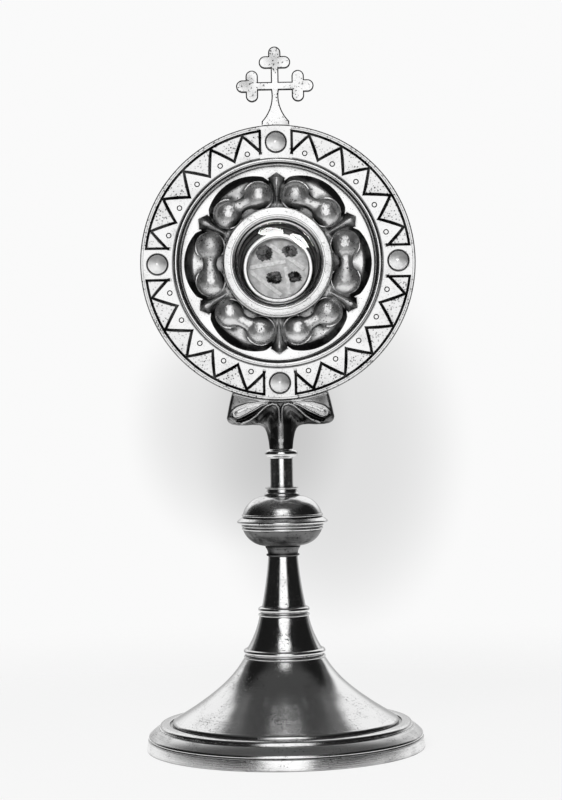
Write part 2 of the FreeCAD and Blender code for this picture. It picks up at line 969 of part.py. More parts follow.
# ---------------------------------------------------------------------------------------------
# Stones: four domed cabochons in cups, each held by a stud and a nut behind the plate
# ---------------------------------------------------------------------------------------------

stone_radius = dim("stone_radius")
cup_base = plate_half - dim("cup_depth")
cup_floor = cup_base + dim("cup_floor")
cup_rim = plate_half + dim("cup_wall")
stud_nut_height = dim("stud_nut_height")
stone_base = cup_floor + fit_gap
stone_top = plate_half + dim("stone_rise")
stone_shoulder = plate_half + dim("cup_wall") * 0.5
stone_edge = stone_radius - fit_gap

SIDES = {"right": (1, 0), "top": (0, 1), "left": (-1, 0), "bottom": (0, -1)}
# what each stud holds between the plate and its nut
BACKING = {
    "right": size_of(0),
    "top": dim("tang_thick"),
    "left": size_of(0),
    "bottom": tongue_thick,
}
for side, (right, up) in SIDES.items():
    x = stone_circle * right
    z = head_level + stone_circle * up
    stud_end = -(plate_half + BACKING[side] + stud_nut_height + dim("stud_proud"))
    cup = turned(
        f"stone_cup_{side}",
        [
            (0, stud_end),
            (dim("stud_radius"), stud_end),
            (dim("stud_radius"), cup_base),
            (cup_radius, cup_base),
            (cup_radius, cup_rim),
            (stone_radius, cup_rim),
            (stone_radius, cup_floor),
            (0, cup_floor),
        ],
    )
    place(cup, x=x, z=z, facing=True)
    stone = turned(
        f"cabochon_{side}",
        [
            (0, stone_base),
            (stone_edge, stone_base),
            (stone_edge, stone_shoulder),
            (0, stone_top, *arc_middle((0, stone_top), (stone_edge, stone_shoulder), level=True)),
        ],
    )
    place(stone, x=x, z=z, facing=True)


# ---------------------------------------------------------------------------------------------
# Moulding and dish: the beaded ring in the plate's bore, and the pan behind it
# ---------------------------------------------------------------------------------------------

moulding_width = dim("moulding_width")
moulding_outer = dish_inner + moulding_width
moulding_rise = dim("moulding_rise")
spigot_radius = plate_bore - fit_gap
bead_top = (dish_inner + moulding_width * 0.64, plate_half + moulding_rise)
bead_foot = (moulding_outer, plate_half)
valley = (dish_inner + moulding_width * 0.3, plate_half + moulding_rise * 0.35)
inner_lip = (dish_inner + moulding_width * 0.12, plate_half + moulding_rise * 0.6)

place(
    turned(
        "moulding_ring",
        [
            (dish_inner, -plate_half),
            (spigot_radius, -plate_half),
            (spigot_radius, plate_half),
            bead_foot,
            (*bead_top, *arc_middle(bead_foot, bead_top, level=False)),
            (*valley, *arc_middle(bead_top, valley, level=True)),
            (dish_inner, plate_half + moulding_rise * 0.2, *inner_lip),
        ],
    ),
    z=head_level,
    facing=True,
)

dish_outer = dish_inner + dish_wall
dish_corner = dim("dish_corner")
corner_cut = 1 - math.sqrt(0.5)
place(
    turned(
        "dish_pan",
        [
            (dish_inner, -plate_half),
            (plate_bore + dim("dish_flange"), -plate_half),
            (plate_bore + dim("dish_flange"), -plate_half - dish_wall),
            (dish_outer, -plate_half - dish_wall),
            (dish_outer, floor_level + dish_corner - dish_wall),
            (
                dish_outer - dish_corner,
                floor_level - dish_wall,
                dish_outer - dish_corner * corner_cut,
                floor_level - dish_wall + dish_corner * corner_cut,
            ),
            (drum_outer + fit_gap, floor_level - dish_wall),
            (drum_outer + fit_gap, floor_level),
            (dish_inner - dish_corner, floor_level),
            (
                dish_inner,
                floor_level + dish_corner,
                dish_inner - dish_corner * corner_cut,
                floor_level + dish_corner * corner_cut,
            ),
        ],
    ),
    z=head_level,
    facing=True,
)


# ---------------------------------------------------------------------------------------------
# Rosette: six petals with paired bosses, and pointed sepals between them
# ---------------------------------------------------------------------------------------------

PETALS = 6
petal_step = 360 / PETALS
notch_radius = petal_reach - dim("petal_bulge")
sepal_radius = petal_reach - dim("sepal_drop")
petal_half_angle = petal_step / 2 - dim("sepal_angle")
rosette_bore = bezel_skirt + fit_gap
rosette_top = floor_level + dim("rosette_rise")

rosette = new_body("rosette")
rosette_sketch = new_sketch(rosette, "XY_Plane", floor_level)
petal_path = []
for petal in range(PETALS):
    middle = petal * petal_step
    petal_path.append(polar(sepal_radius, middle - petal_step / 2))
    petal_path.append(polar(notch_radius, middle - petal_half_angle))
    petal_end = polar(notch_radius, middle + petal_half_angle)
    petal_path.append((*petal_end, *polar(petal_reach, middle)))
draw_outline(rosette_sketch, petal_path)
draw_circle(rosette_sketch, rosette_bore)
feature(rosette, "Pad", rosette_sketch, Length=dim("rosette_rise"))
bosses = []
for side in (-1, 0, 1):
    boss = rosette.newObject("PartDesign::AdditiveEllipsoid", "rosette_boss")
    centre = polar(ball_circle, dim("ball_spread") * side)
    boss.AttachmentSupport = (rosette_sketch.AttachmentSupport[0][0], [""])
    boss.MapMode = "FlatFace"
    round_radius = ball_radius if side else dim("bridge_radius")
    rise = dim("ball_rise") if side else dim("bridge_rise")
    boss.setExpression("Radius1", rise.formula)
    boss.setExpression("Radius2", round_radius.formula)
    boss.setExpression("Radius3", (round_radius if side else ball_radius).formula)
    for axis, value in zip("xyz", (*centre, rosette_top)):
        boss.setExpression(f".AttachmentOffset.Base.{axis}", value.formula)
    rosette.Tip = boss
    bosses.append(boss)
polar_pattern(rosette, bosses, rosette_sketch, PETALS)
place(rosette, z=head_level, facing=True)


# ---------------------------------------------------------------------------------------------
# Window: bezel, domed glass and the spring ring behind it
# ---------------------------------------------------------------------------------------------

bezel_top = dim("bezel_crown")
bezel_inner = bezel_radius - dim("bezel_band")
bezel_crest = (bezel_inner + dim("bezel_band") * 0.45, bezel_top)
bezel_lip = (bezel_inner, bezel_top - dim("bezel_lip_drop"))
ledge_radius = bezel_inner - dim("bezel_ledge")
glass_level = dim("glass_seat")
glass_radius = drum_outer - dim("glass_inset")
glass_pocket = glass_radius + fit_gap
drum_start = -dim("drum_start")
overhang_level = rosette_top + fit_gap
bezel_bore = drum_outer + fit_gap
bezel_side = (bezel_radius, overhang_level + dim("bezel_round"))
ledge = (ledge_radius, glass_level + dim("ledge_thick"))

place(
    turned(
        "window_bezel",
        [
            (bezel_bore, floor_level),
            (bezel_skirt, floor_level),
            (bezel_skirt, overhang_level),
            (bezel_radius - dim("bezel_round"), overhang_level),
            bezel_side,
            (*bezel_crest, *arc_middle(bezel_side, bezel_crest, level=False)),
            (*bezel_lip, *arc_middle(bezel_crest, bezel_lip, level=True)),
            (*ledge, *arc_middle(ledge, bezel_lip, level=True)),
            (ledge_radius, glass_level),
            (glass_pocket, glass_level),
            (glass_pocket, drum_start + fit_gap),
            (bezel_bore, drum_start + fit_gap),
        ],
    ),
    z=head_level,
    facing=True,
)

glass_thick = dim("glass_thick")
glass_front = glass_level - fit_gap
glass_edge = ledge_radius - fit_gap * 2
glass_back = glass_front - glass_thick
glass_crown = (0, glass_front + dim("glass_rise"))
glass_hollow = (0, glass_back + dim("glass_rise"))
inner_edge = (glass_edge - glass_thick, glass_back)
place(
    turned(
        "window_glass",
        [
            (glass_radius, glass_back),
            (glass_radius, glass_front),
            (glass_edge, glass_front),
            (*glass_crown, *arc_middle(glass_crown, (glass_edge, glass_front), level=True)),
            glass_hollow,
            (*inner_edge, *arc_middle(glass_hollow, inner_edge, level=True)),
        ],
    ),
    z=head_level,
    facing=True,
)

retainer_top = glass_back - fit_gap
retainer_base = retainer_top - dim("retainer_height")
place(
    turned(
        "glass_spring_ring",
        [
            (ledge_radius, retainer_base),
            (glass_radius, retainer_base),
            (glass_radius, retainer_top),
            (ledge_radius, retainer_top),
        ],
    ),
    z=head_level,
    facing=True,
)


# ---------------------------------------------------------------------------------------------
# Housing: a tube through the dish, soldered by its flange
# ---------------------------------------------------------------------------------------------

drum_end = -dim("drum_end")
flange_top = floor_level - dish_wall
flange_base = flange_top - dim("drum_flange_thick")
flange_radius = drum_outer + dim("drum_flange")
place(
    turned(
        "relic_housing",
        [
            (drum_inner, drum_end),
            (drum_outer, drum_end),
            (drum_outer, flange_base),
            (flange_radius, flange_base),
            (flange_radius, flange_top),
            (drum_outer, flange_top),
            (drum_outer, drum_start),
            (drum_inner, drum_start),
        ],
    ),
    z=head_level,
    facing=True,
)


# ---------------------------------------------------------------------------------------------
# Door: a flat lid with a friction plug, a thumb tab and a pinned hinge on its left
# ---------------------------------------------------------------------------------------------

door_front = drum_end - fit_gap * 2
door_back = door_front - dim("door_thick")
door_radius = drum_outer + dim("door_overhang")
plug_radius = drum_inner - dim("free_gap")
plug_inner = plug_radius - dim("plug_wall")
plug_tip = door_front + dim("plug_height")
door_ring = plug_radius * 0.8
door_ring_depth = dim("door_thick") * 0.25
place(
    turned(
        "rear_door",
        [
            (0, door_back),
            (door_ring, door_back),
            (door_ring, door_back + door_ring_depth),
            (door_ring + dim("groove_width"), door_back + door_ring_depth),
            (door_ring + dim("groove_width"), door_back),
            (door_radius - door_ring_depth, door_back),
            (door_radius, door_back + door_ring_depth),
            (door_radius, door_front),
            (plug_radius, door_front),
            (plug_radius, plug_tip),
            (plug_inner, plug_tip),
            (plug_inner, door_front),
            (0, door_front),
        ],
    ),
    z=head_level,
    facing=True,
)

tab = new_body("door_thumb_tab")
tab_sketch = new_sketch(tab, "XY_Plane", door_back + door_ring_depth)
tab_half = dim("tab_width") * 0.5
tab_end = door_radius + dim("tab_reach")
tab_root = root(door_radius * door_radius - tab_half * tab_half)
draw_outline(
    tab_sketch,
    [
        (tab_root, -tab_half, door_radius, 0),
        (door_radius + dim("tab_reach") * 0.5, -tab_half),
        (door_radius + dim("tab_reach") * 0.5, tab_half, tab_end, 0),
        (tab_root, tab_half),
    ],
)
feature(tab, "Pad", tab_sketch, Length=dim("door_thick") - door_ring_depth)
place(tab, z=head_level, facing=True)

hinge_x = -(drum_outer + dim("hinge_offset"))
knuckle_radius = dim("knuckle_radius")
pin_radius = dim("pin_radius")
pin_bore = pin_radius + fit_gap
door_knuckle_half = dim("door_knuckle") * 0.5
knuckle_start = door_knuckle_half + dim("knuckle_gap")
knuckle_length = dim("knuckle_length")
knuckle_end = knuckle_start + knuckle_length
hinge_depth = -door_front  # the pin's line lies in the plane of the door's inner face
leaf_thick = dim("leaf_thick")
leaf_length = dim("leaf_length")

door_leaf = new_body("door_hinge_leaf")
leaf_outline = new_sketch(door_leaf, "XY_Plane", -door_knuckle_half)
draw_outline(
    leaf_outline,
    [
        (0, dim("door_thick") + leaf_thick),
        (0, dim("door_thick")),
        (leaf_length, dim("door_thick")),
        (leaf_length, dim("door_thick") + leaf_thick),
    ],
)
feature(door_leaf, "Pad", leaf_outline, Length=dim("door_knuckle"))
barrel_sketch = new_sketch(door_leaf, "XY_Plane", -door_knuckle_half)
draw_circle(barrel_sketch, knuckle_radius)
feature(door_leaf, "Pad", barrel_sketch, Length=dim("door_knuckle"))
bore_sketch = new_sketch(door_leaf, "XY_Plane", -door_knuckle_half)
draw_circle(bore_sketch, pin_bore)
door_bore = feature(door_leaf, "Pocket", bore_sketch, Length=dim("door_knuckle"))
door_bore.Reversed = True
place(door_leaf, x=hinge_x, y=hinge_depth, z=head_level)

# the housing's leaf is a saddle block cut to the tube, with a knuckle above and one below
saddle_block = primitive(
    "Box",
    "saddle_block",
    x=hinge_x + knuckle_radius * 0.4,
    y=hinge_depth - leaf_length,
    z=head_level - knuckle_end,
    Length=dim("hinge_offset") * 1.8,
    Width=leaf_length - knuckle_radius - dim("free_gap"),
    Height=knuckle_end * 2,
)
parts_of_leaf = [saddle_block]
for side in (-1, 1):
    start = knuckle_start if side == 1 else -knuckle_end
    barrel = primitive(
        "Cylinder",
        "housing_knuckle",
        x=hinge_x,
        y=hinge_depth,
        z=head_level + start,
        Radius=knuckle_radius,
        Height=knuckle_length,
    )
    neck = primitive(
        "Box",
        "knuckle_neck",
        x=hinge_x + knuckle_radius * 0.4,
        y=hinge_depth - knuckle_radius * 1.6,
        z=head_level + start,
        Length=knuckle_radius * 0.6,
        Width=knuckle_radius * 1.4,
        Height=knuckle_length,
    )
    parts_of_leaf += [barrel, neck]
leaf_solid = boolean("MultiFuse", "housing_leaf_solid", Shapes=parts_of_leaf)
pin_hole = primitive(
    "Cylinder",
    "pin_hole",
    x=hinge_x,
    y=hinge_depth,
    z=head_level - knuckle_end * 1.1,
    Radius=pin_bore,
    Height=knuckle_end * 2.2,
)
tube_clearance = primitive(
    "Cylinder",
    "tube_clearance",
    y=leaf_length * 3,
    z=head_level,
    rotation=FACING,
    Radius=drum_outer + fit_gap,
    Height=leaf_length * 3,
)
leaf_cutters = boolean("MultiFuse", "housing_leaf_cutters", Shapes=[pin_hole, tube_clearance])
housing_leaf = boolean("Cut", "housing_leaf", Base=leaf_solid, Tool=leaf_cutters)
keep(housing_leaf, "housing_hinge_leaf")

pin_end = knuckle_end + dim("pin_head_height")
place(
    turned(
        "hinge_pin",
        [
            (0, -pin_end),
            (dim("pin_head"), -pin_end),
            (dim("pin_head"), -knuckle_end),
            (pin_radius, -knuckle_end),
            (pin_radius, knuckle_end),
            (dim("pin_head"), knuckle_end),
            (dim("pin_head"), pin_end),
            (0, pin_end),
        ],
    ),
    x=hinge_x,
    y=hinge_depth,
    z=head_level,
)


# ---------------------------------------------------------------------------------------------
# Relic capsule: a glazed case that stands on the floor of the housing
# ---------------------------------------------------------------------------------------------

case_radius = drum_inner - dim("case_drop") - dim("case_gap")
case_inner = case_radius - dim("case_wall")
capsule_level = head_level - dim("case_drop")
case_front = -dim("case_seat")
case_back = case_front - dim("case_depth")
rim_inner = case_radius - dim("rim_width")
glass_face = case_front - fit_gap
case_glass_back = glass_face - dim("case_glass")
pad_face = case_glass_back - dim("pad_gap")
pad_back = pad_face - dim("pad_thick")
lid_top = case_back + dim("back_thick")


def capsule_piece(label, path):
    return place(turned(label, path), z=capsule_level, facing=True)


def disc(radius, low, high):
    return [(0, low), (radius, low), (radius, high), (0, high)]


capsule_piece(
    "capsule_case",
    [
        (case_inner, case_back),
        (case_radius, case_back),
        (case_radius, case_front),
        (case_inner, case_front),
    ],
)
rim_edge = (case_radius, case_front + dim("rim_rise") * 0.4)
rim_crest = (rim_inner + dim("rim_width") * 0.4, case_front + dim("rim_rise"))
rim_lip = (rim_inner, case_front + dim("rim_rise") * 0.3)
capsule_piece(
    "capsule_rim",
    [
        (rim_inner, case_front),
        (case_radius, case_front),
        rim_edge,
        (*rim_crest, *arc_middle(rim_crest, rim_edge, level=True)),
        (*rim_lip, *arc_middle(rim_crest, rim_lip, level=True)),
    ],
)
capsule_piece("capsule_glass", disc(case_inner - fit_gap, case_glass_back, glass_face))
capsule_piece("relic_pad", disc(case_inner - fit_gap, pad_back, pad_face))
capsule_piece("packing_disc", disc(case_inner - fit_gap, lid_top, pad_back))
capsule_piece("capsule_back", disc(case_inner - fit_gap, case_back, lid_top))

RELICS = ((133, 0.62, 1.15), (54, 0.66, 1.0), (243, 0.29, 1.1), (-32, 0.56, 0.95))
relic_solids = []
for angle, share, scale in RELICS:
    rx, rz = polar(rim_inner * share, angle)
    lump = primitive(
        "Ellipsoid",
        "relic_lump",
        x=rx,
        y=-pad_face,
        z=capsule_level + rz,
        rotation=FACING,
        Radius1=dim("relic_rise"),
        Radius2=dim("relic_radius") * scale,
        Radius3=dim("relic_radius") * (scale * 0.8),
        Angle1=0,
    )
    relic_solids.append(lump)
keep(boolean("Compound", "relic_fragments", Links=relic_solids), "relic_fragments")

LABELS = ((172, 0.36, 8, 0.62), (38, 0.42, -38, 0.85), (-62, 0.47, -80, 0.62), (232, 0.62, -40, 0.7))
label_solids = []
for angle, share, turn, length in LABELS:
    middle_x, middle_z = polar(rim_inner * share, angle)
    half_x, half_z = polar(rim_inner * (length / 2), turn)
    side_x, side_z = polar(dim("label_width") / 2, turn + 90)
    strip = primitive(
        "Box",
        "label_strip",
        x=middle_x - half_x - side_x,
        y=-pad_face,
        z=capsule_level + middle_z - half_z - side_z,
        rotation=FreeCAD.Rotation(FreeCAD.Vector(0, 1, 0), -turn) * FACING,
        Length=rim_inner * length,
        Width=dim("label_width"),
        Height=dim("label_thick"),
    )
    label_solids.append(strip)
keep(boolean("Compound", "blank_label_strips", Links=label_solids), "blank_label_strips")

thread_width = dim("thread_width")
thread_half = case_inner - dim("free_gap")
thread_bars = []
for upright in (False, True):
    long_side, short_side = thread_half * 2, thread_width
    bar = primitive(
        "Box",
        "thread_bar",
        x=-(short_side if upright else long_side) / 2,
        y=-case_back,
        z=capsule_level - (long_side if upright else short_side) / 2,
        Length=short_side if upright else long_side,
        Width=thread_width,
        Height=long_side if upright else short_side,
    )
    thread_bars.append(bar)
keep(boolean("MultiFuse", "seal_thread", Shapes=thread_bars), "seal_thread")

wax_level = case_back - thread_width
wax_edge = (dim("wax_radius"), wax_level)
wax_face = (dim("wax_radius") * 0.8, wax_level - dim("wax_rise"))
capsule_piece(
    "wax_seal",
    [
        (0, wax_face[1]),
        wax_face,
        (*wax_edge, *arc_middle(wax_face, wax_edge, level=True)),
        (0, wax_level),
    ],
)


# ---------------------------------------------------------------------------------------------
# Cross: a flat trefoil-ended cross whose tang is held behind the plate by the top stud
# ---------------------------------------------------------------------------------------------

cross_thick = dim("cross_thick")
cross_back = cross_thick - plate_half  # how far the blade reaches behind the plate's middle
plate_top = head_level + plate_radius
bar_level = plate_top + dim("bar_rise")
lobe_radius = dim("lobe_radius")
lobe_reach = dim("lobe_reach")
arm_reach = dim("arm_reach")
crown_level = plate_top + dim("cross_height") - lobe_radius - lobe_reach
shaft_half = dim("shaft_width") / 2
bar_half = dim("bar_width") / 2


def blade_box(name, low_x, high_x, low_z, high_z):
    return primitive(
        "Box",
        name,
        x=low_x,
        y=-plate_half,
        z=low_z,
        Length=high_x - low_x,
        Width=cross_thick,
        Height=high_z - low_z,
    )


def blade_lobe(x, z):
    return primitive(
        "Cylinder",
        "cross_lobe",
        x=x,
        y=cross_back,
        z=z,
        rotation=FACING,
        Radius=lobe_radius,
        Height=cross_thick,
    )


cross_pieces = [
    blade_box("cross_shaft", -shaft_half, shaft_half, bar_level - bar_half, crown_level),
    blade_box("cross_bar", -arm_reach, arm_reach, bar_level - bar_half, bar_level + bar_half),
]
TREFOILS = ((0, crown_level, 90), (arm_reach, bar_level, 0), (-arm_reach, bar_level, 180))
for x, z, outward in TREFOILS:
    x = size_of(x)
    for turn in (-90, 0, 90):
        reach_x, reach_z = (lobe_reach * round(value.number) for value in polar(1, outward + turn))
        wide_x = lobe_radius if round(reach_x.number) == 0 else size_of(0)
        wide_z = lobe_radius if round(reach_z.number) == 0 else size_of(0)
        low_x, high_x = sorted((x, x + reach_x), key=lambda size: size.number)
        low_z, high_z = sorted((z, z + reach_z), key=lambda size: size.number)
        limb = (low_x - wide_x, high_x + wide_x, low_z - wide_z, high_z + wide_z)
        cross_pieces.append(blade_box("cross_limb", *limb))
        cross_pieces.append(blade_lobe(x + reach_x, z + reach_z))

cross_foot = dim("cross_foot")
ankle = dim("cross_ankle")
foot_notch = dim("foot_notch")
waist = shaft_half + (cross_foot - shaft_half) * 0.2
foot_arc = plate_radius + dim("seat_gap")
foot_corner = root(foot_arc * foot_arc - cross_foot * cross_foot) - plate_radius
neck_base = dim("bar_rise") - bar_half
flare = new_body("cross_flare")
NODES.remove(flare)
flare_sketch = new_sketch(flare, "XZ_Plane", -cross_back)
draw_outline(
    flare_sketch,
    [
        (-cross_foot, foot_corner),
        (cross_foot, foot_corner, 0, dim("seat_gap")),
        (cross_foot, ankle * 0.7),
        (cross_foot - foot_notch, ankle),
        (shaft_half, neck_base, waist, neck_base * 0.46),
        (-shaft_half, neck_base),
        (foot_notch - cross_foot, ankle, -waist, neck_base * 0.46),
        (-cross_foot, ankle * 0.7),
    ],
)
feature(flare, "Pad", flare_sketch, Length=cross_thick)
tang_half = dim("tang_width") / 2
tang_base = -dim("stone_inset") - tang_half * 0.9
tang_sketch = new_sketch(flare, "XZ_Plane", -(plate_half + dim("tang_thick")))
draw_outline(
    tang_sketch,
    [
        (-tang_half, tang_base),
        (tang_half, tang_base),
        (tang_half, ankle * 0.9),
        (-tang_half, ankle * 0.9),
    ],
)
draw_circle(tang_sketch, dim("stud_radius") + fit_gap * 2, 0, -dim("stone_inset"))
feature(flare, "Pad", tang_sketch, Length=dim("tang_thick"))
bridge_sketch = new_sketch(flare, "XZ_Plane", -plate_half)
draw_outline(
    bridge_sketch,
    [
        (-tang_half, dim("seat_gap") * 2),
        (tang_half, dim("seat_gap") * 2),
        (tang_half, ankle * 0.9),
        (-tang_half, ankle * 0.9),
    ],
)
feature(flare, "Pad", bridge_sketch, Length=plate_half - cross_back)
place(flare, z=plate_top)
keep(boolean("MultiFuse", "cross", Shapes=[*cross_pieces, flare]), "trefoil_cross")


# ---------------------------------------------------------------------------------------------
# Nuts behind the plate, one on each stone's stud
# ---------------------------------------------------------------------------------------------

nut_solids = []
for side, (right, up) in SIDES.items():
    stud_nut = primitive(
        "Prism",
        "stud_nut_blank",
        x=stone_circle * right,
        y=plate_half + BACKING[side] + stud_nut_height,
        z=head_level + stone_circle * up,
        rotation=FACING,
        Circumradius=dim("stud_nut_radius"),
        Height=stud_nut_height,
    )
    stud_bore = primitive(
        "Cylinder",
        "stud_nut_bore",
        x=stone_circle * right,
        y=plate_half + BACKING[side] + stud_nut_height,
        z=head_level + stone_circle * up,
        rotation=FACING,
        Radius=dim("stud_radius") + fit_gap,
        Height=stud_nut_height,
    )
    nut_solids.append(boolean("Cut", "stud_nut", Base=stud_nut, Tool=stud_bore))
keep(boolean("Compound", "stud_nuts", Links=nut_solids), "stud_nuts")


# ---------------------------------------------------------------------------------------------
# Recompute, check and export
# ---------------------------------------------------------------------------------------------

doc.recompute()
failed = [o.Label for o in doc.Objects if {"Invalid", "Error"} & set(o.State)]
if failed:
    raise RuntimeError(f"these objects did not compute: {failed}")
for node in NODES:
    if node.Shape.isNull() or not node.Shape.isValid() or not node.Shape.Solids:
        raise RuntimeError(f"{node.Label} has no valid solid")

os.makedirs("parts", exist_ok=True)
for node in NODES:
    node.Shape.exportStep(f"parts/{node.Label}.step")
box = Part.makeCompound([node.Shape for node in NODES]).BoundBox
print(f"{len(NODES)} sub-parts, {box.XLength:.2f} x {box.YLength:.2f} x {box.ZLength:.2f} mm")
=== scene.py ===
"""A silvered brass monstrance for a relic, standing on a plain white ground."""

import math

import bmesh
import bpy
from mathutils import Matrix, Vector, noise


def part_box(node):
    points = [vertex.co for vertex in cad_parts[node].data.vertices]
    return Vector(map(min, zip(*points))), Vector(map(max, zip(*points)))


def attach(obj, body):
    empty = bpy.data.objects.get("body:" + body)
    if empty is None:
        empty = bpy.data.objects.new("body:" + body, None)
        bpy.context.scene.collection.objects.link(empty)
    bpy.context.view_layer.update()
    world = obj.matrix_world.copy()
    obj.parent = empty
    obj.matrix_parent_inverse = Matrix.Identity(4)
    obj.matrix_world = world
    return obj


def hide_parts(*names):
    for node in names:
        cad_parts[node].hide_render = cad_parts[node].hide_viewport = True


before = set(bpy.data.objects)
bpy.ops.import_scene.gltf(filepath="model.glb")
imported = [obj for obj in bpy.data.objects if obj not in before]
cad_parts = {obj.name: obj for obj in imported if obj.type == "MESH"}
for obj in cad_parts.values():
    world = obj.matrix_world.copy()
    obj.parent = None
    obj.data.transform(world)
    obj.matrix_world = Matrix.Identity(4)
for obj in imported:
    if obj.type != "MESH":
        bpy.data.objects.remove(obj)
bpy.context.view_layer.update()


# --------------------------------------------------
# Camera: level with the middle of the object, a little under a metre away.  It is turned one
# degree about its own axis, so the monstrance leans slightly to the left.
# --------------------------------------------------

camera_data = bpy.data.cameras.new("camera")
camera_data.lens = 90.6
camera_data.clip_start = 0.05
camera_data.clip_end = 20
camera = bpy.data.objects.new("camera", camera_data)
bpy.context.scene.collection.objects.link(camera)
camera.matrix_world = (
    Matrix.Translation((0.0003, -0.863, 0.1486))
    @ Matrix.Rotation(math.radians(90), 4, "X")
    @ Matrix.Rotation(math.radians(-1), 4, "Z")
)
bpy.context.scene.camera = camera
bpy.context.scene.view_settings.view_transform = "Standard"


# --------------------------------------------------
# Studio: a white table and a white ground that fade into each other, and a dim room in front.
# Soft boxes hang before the object.  Two hard lamps reach only the window, and one the stones.
# --------------------------------------------------

class Wire:
    """A socket in a node tree.  Sums on it add Math nodes, and add() adds any other node."""

    def __init__(self, tree, socket=None):
        self.tree = tree
        self.socket = socket

    def add(self, kind, sockets=(), output=0, stops=(), **settings):
        node = self.tree.nodes.new(kind)
        for setting, value in settings.items():
            setattr(node, setting, value)
        for count, (position, grey) in enumerate(stops):
            elements = node.color_ramp.elements
            stop = elements[count] if count < 2 else elements.new(position)
            stop.position = position
            stop.color = (grey, grey, grey, 1)
        for key, value in dict(sockets).items():
            if isinstance(value, Wire):
                self.tree.links.new(value.socket, node.inputs[key])
            else:
                node.inputs[key].default_value = value
        return Wire(self.tree, node.outputs[output] if len(node.outputs) else None)

    def math(self, operation, *values):
        sockets = {place: value for place, value in enumerate(values)}
        return self.add("ShaderNodeMath", sockets, operation=operation)

    def __add__(self, other):
        return self.math("ADD", self, other)

    def __radd__(self, other):
        return self.math("ADD", other, self)

    def __sub__(self, other):
        return self.math("SUBTRACT", self, other)

    def __rsub__(self, other):
        return self.math("SUBTRACT", other, self)

    def __mul__(self, other):
        return self.math("MULTIPLY", self, other)

    def __rmul__(self, other):
        return self.math("MULTIPLY", other, self)

    def __truediv__(self, other):
        return self.math("DIVIDE", self, other)

    def ramp(self, low, high, start=0.0, end=1.0):
        """The value taken smoothly from start at low to end at high."""
        sockets = {0: self, 1: low, 2: high, 3: start, 4: end}
        return self.add("ShaderNodeMapRange", sockets, interpolation_type="SMOOTHSTEP")

    def apart(self):
        """The three parts of a vector."""
        return [self.add("ShaderNodeSeparateXYZ", {0: self}, output=part) for part in range(3)]

    def grey(self, low, high):
        """A neutral colour between two greys."""
        sockets = {0: self, 6: (low, low, low, 1), 7: (high, high, high, 1)}
        return self.add("ShaderNodeMix", sockets, output=2, data_type="RGBA")


def blank_finish(name):
    """An empty material, and the wires of its node tree."""
    material = bpy.data.materials.new(name)
    material.use_nodes = True
    material.node_tree.nodes.clear()
    return material, Wire(material.node_tree)


WHITE_GROUND = 0.955
ROOM = 0.012
SIDE_WALL = 0.075
CEILING = 0.05
BACKDROP = 0.58

world = bpy.data.worlds.new("studio")
world.use_nodes = True
world.node_tree.nodes.clear()
bpy.context.scene.world = world
sky = Wire(world.node_tree)
east, north, up = sky.add("ShaderNodeTexCoord").apart()
level_part = (east * east + north * north).math("SQRT", east * east + north * north)
facing_back = north / level_part
behind = facing_back.ramp(0.68, 0.80) * up.ramp(0.72, 0.80, 1, 0) * up.ramp(0.08, 0.35, 0.3, 1)
beside = facing_back.ramp(0.45, 0.58) * up.ramp(0.84, 0.89, 1, 0)
below = up.ramp(-0.06, -0.25)
brightness = ROOM + SIDE_WALL * beside + BACKDROP * behind
brightness = brightness + CEILING * up.ramp(0.72, 0.86)
brightness = brightness * (1 - below) + facing_back.ramp(-0.6, -0.2, 0.15, 0.6) * below
seen = sky.add("ShaderNodeLightPath", output="Is Camera Ray")
through = sky.add("ShaderNodeLightPath", output="Is Transmission Ray")
glint = sky.add("ShaderNodeLightPath", output="Is Glossy Ray")
seen = seen.math("MAXIMUM", seen.math("MAXIMUM", seen, through), glint * behind)
brightness = brightness * (1 - seen) + WHITE_GROUND * seen
shade = sky.add("ShaderNodeCombineXYZ", {0: brightness, 1: brightness, 2: brightness})
background = sky.add("ShaderNodeBackground", {"Color": shade, "Strength": 1.0})
sky.add("ShaderNodeOutputWorld", {"Surface": background})


def soft_box(name, width, height, azimuth, elevation, distance, radiance, target=0.2, twist=0):
    """A lamp that faces a point on the object's axis."""
    lamp_data = bpy.data.lights.new(name, "AREA")
    lamp_data.shape = "RECTANGLE"
    lamp_data.size = width
    lamp_data.size_y = height
    lamp_data.energy = radiance * math.pi * width * height
    lamp = bpy.data.objects.new(name, lamp_data)
    bpy.context.scene.collection.objects.link(lamp)
    lamp.matrix_world = (
        Matrix.Translation((0, 0, target))
        @ Matrix.Rotation(math.radians(azimuth), 4, "Z")
        @ Matrix.Rotation(math.radians(90 - elevation), 4, "X")
        @ Matrix.Translation((0, 0, distance))
        @ Matrix.Rotation(math.radians(twist), 4, "Z")
    )
    lamp.visible_camera = False
    return lamp


soft_box("front_box", 0.98, 0.88, 0, 8, 1.1, 0.94).data.shape = "ELLIPSE"
soft_box("front_box_upper", 0.74, 0.50, 0, 41, 1.1, 0.95).data.shape = "ELLIPSE"
soft_box("fill", 0.90, 0.90, -18, 30, 1.3, 5.6).visible_glossy = False
left_lamp = soft_box("left_lamp", 0.56, 0.20, -7.5, 35.5, 1.25, 46)
right_lamp = soft_box("right_lamp", 0.48, 0.20, 24.5, 25, 1.25, 46, twist=-45)
spark = soft_box("spark", 0.50, 0.30, -6, 12, 1.2, 16)
spark.visible_diffuse = False
spark.light_linking.receiver_collection = bpy.data.collections.new("stones")
glassy = bpy.data.collections.new("glassy_pieces")
for lamp in (left_lamp, right_lamp):
    lamp.data.shape = "ELLIPSE"
    lamp.light_linking.receiver_collection = glassy

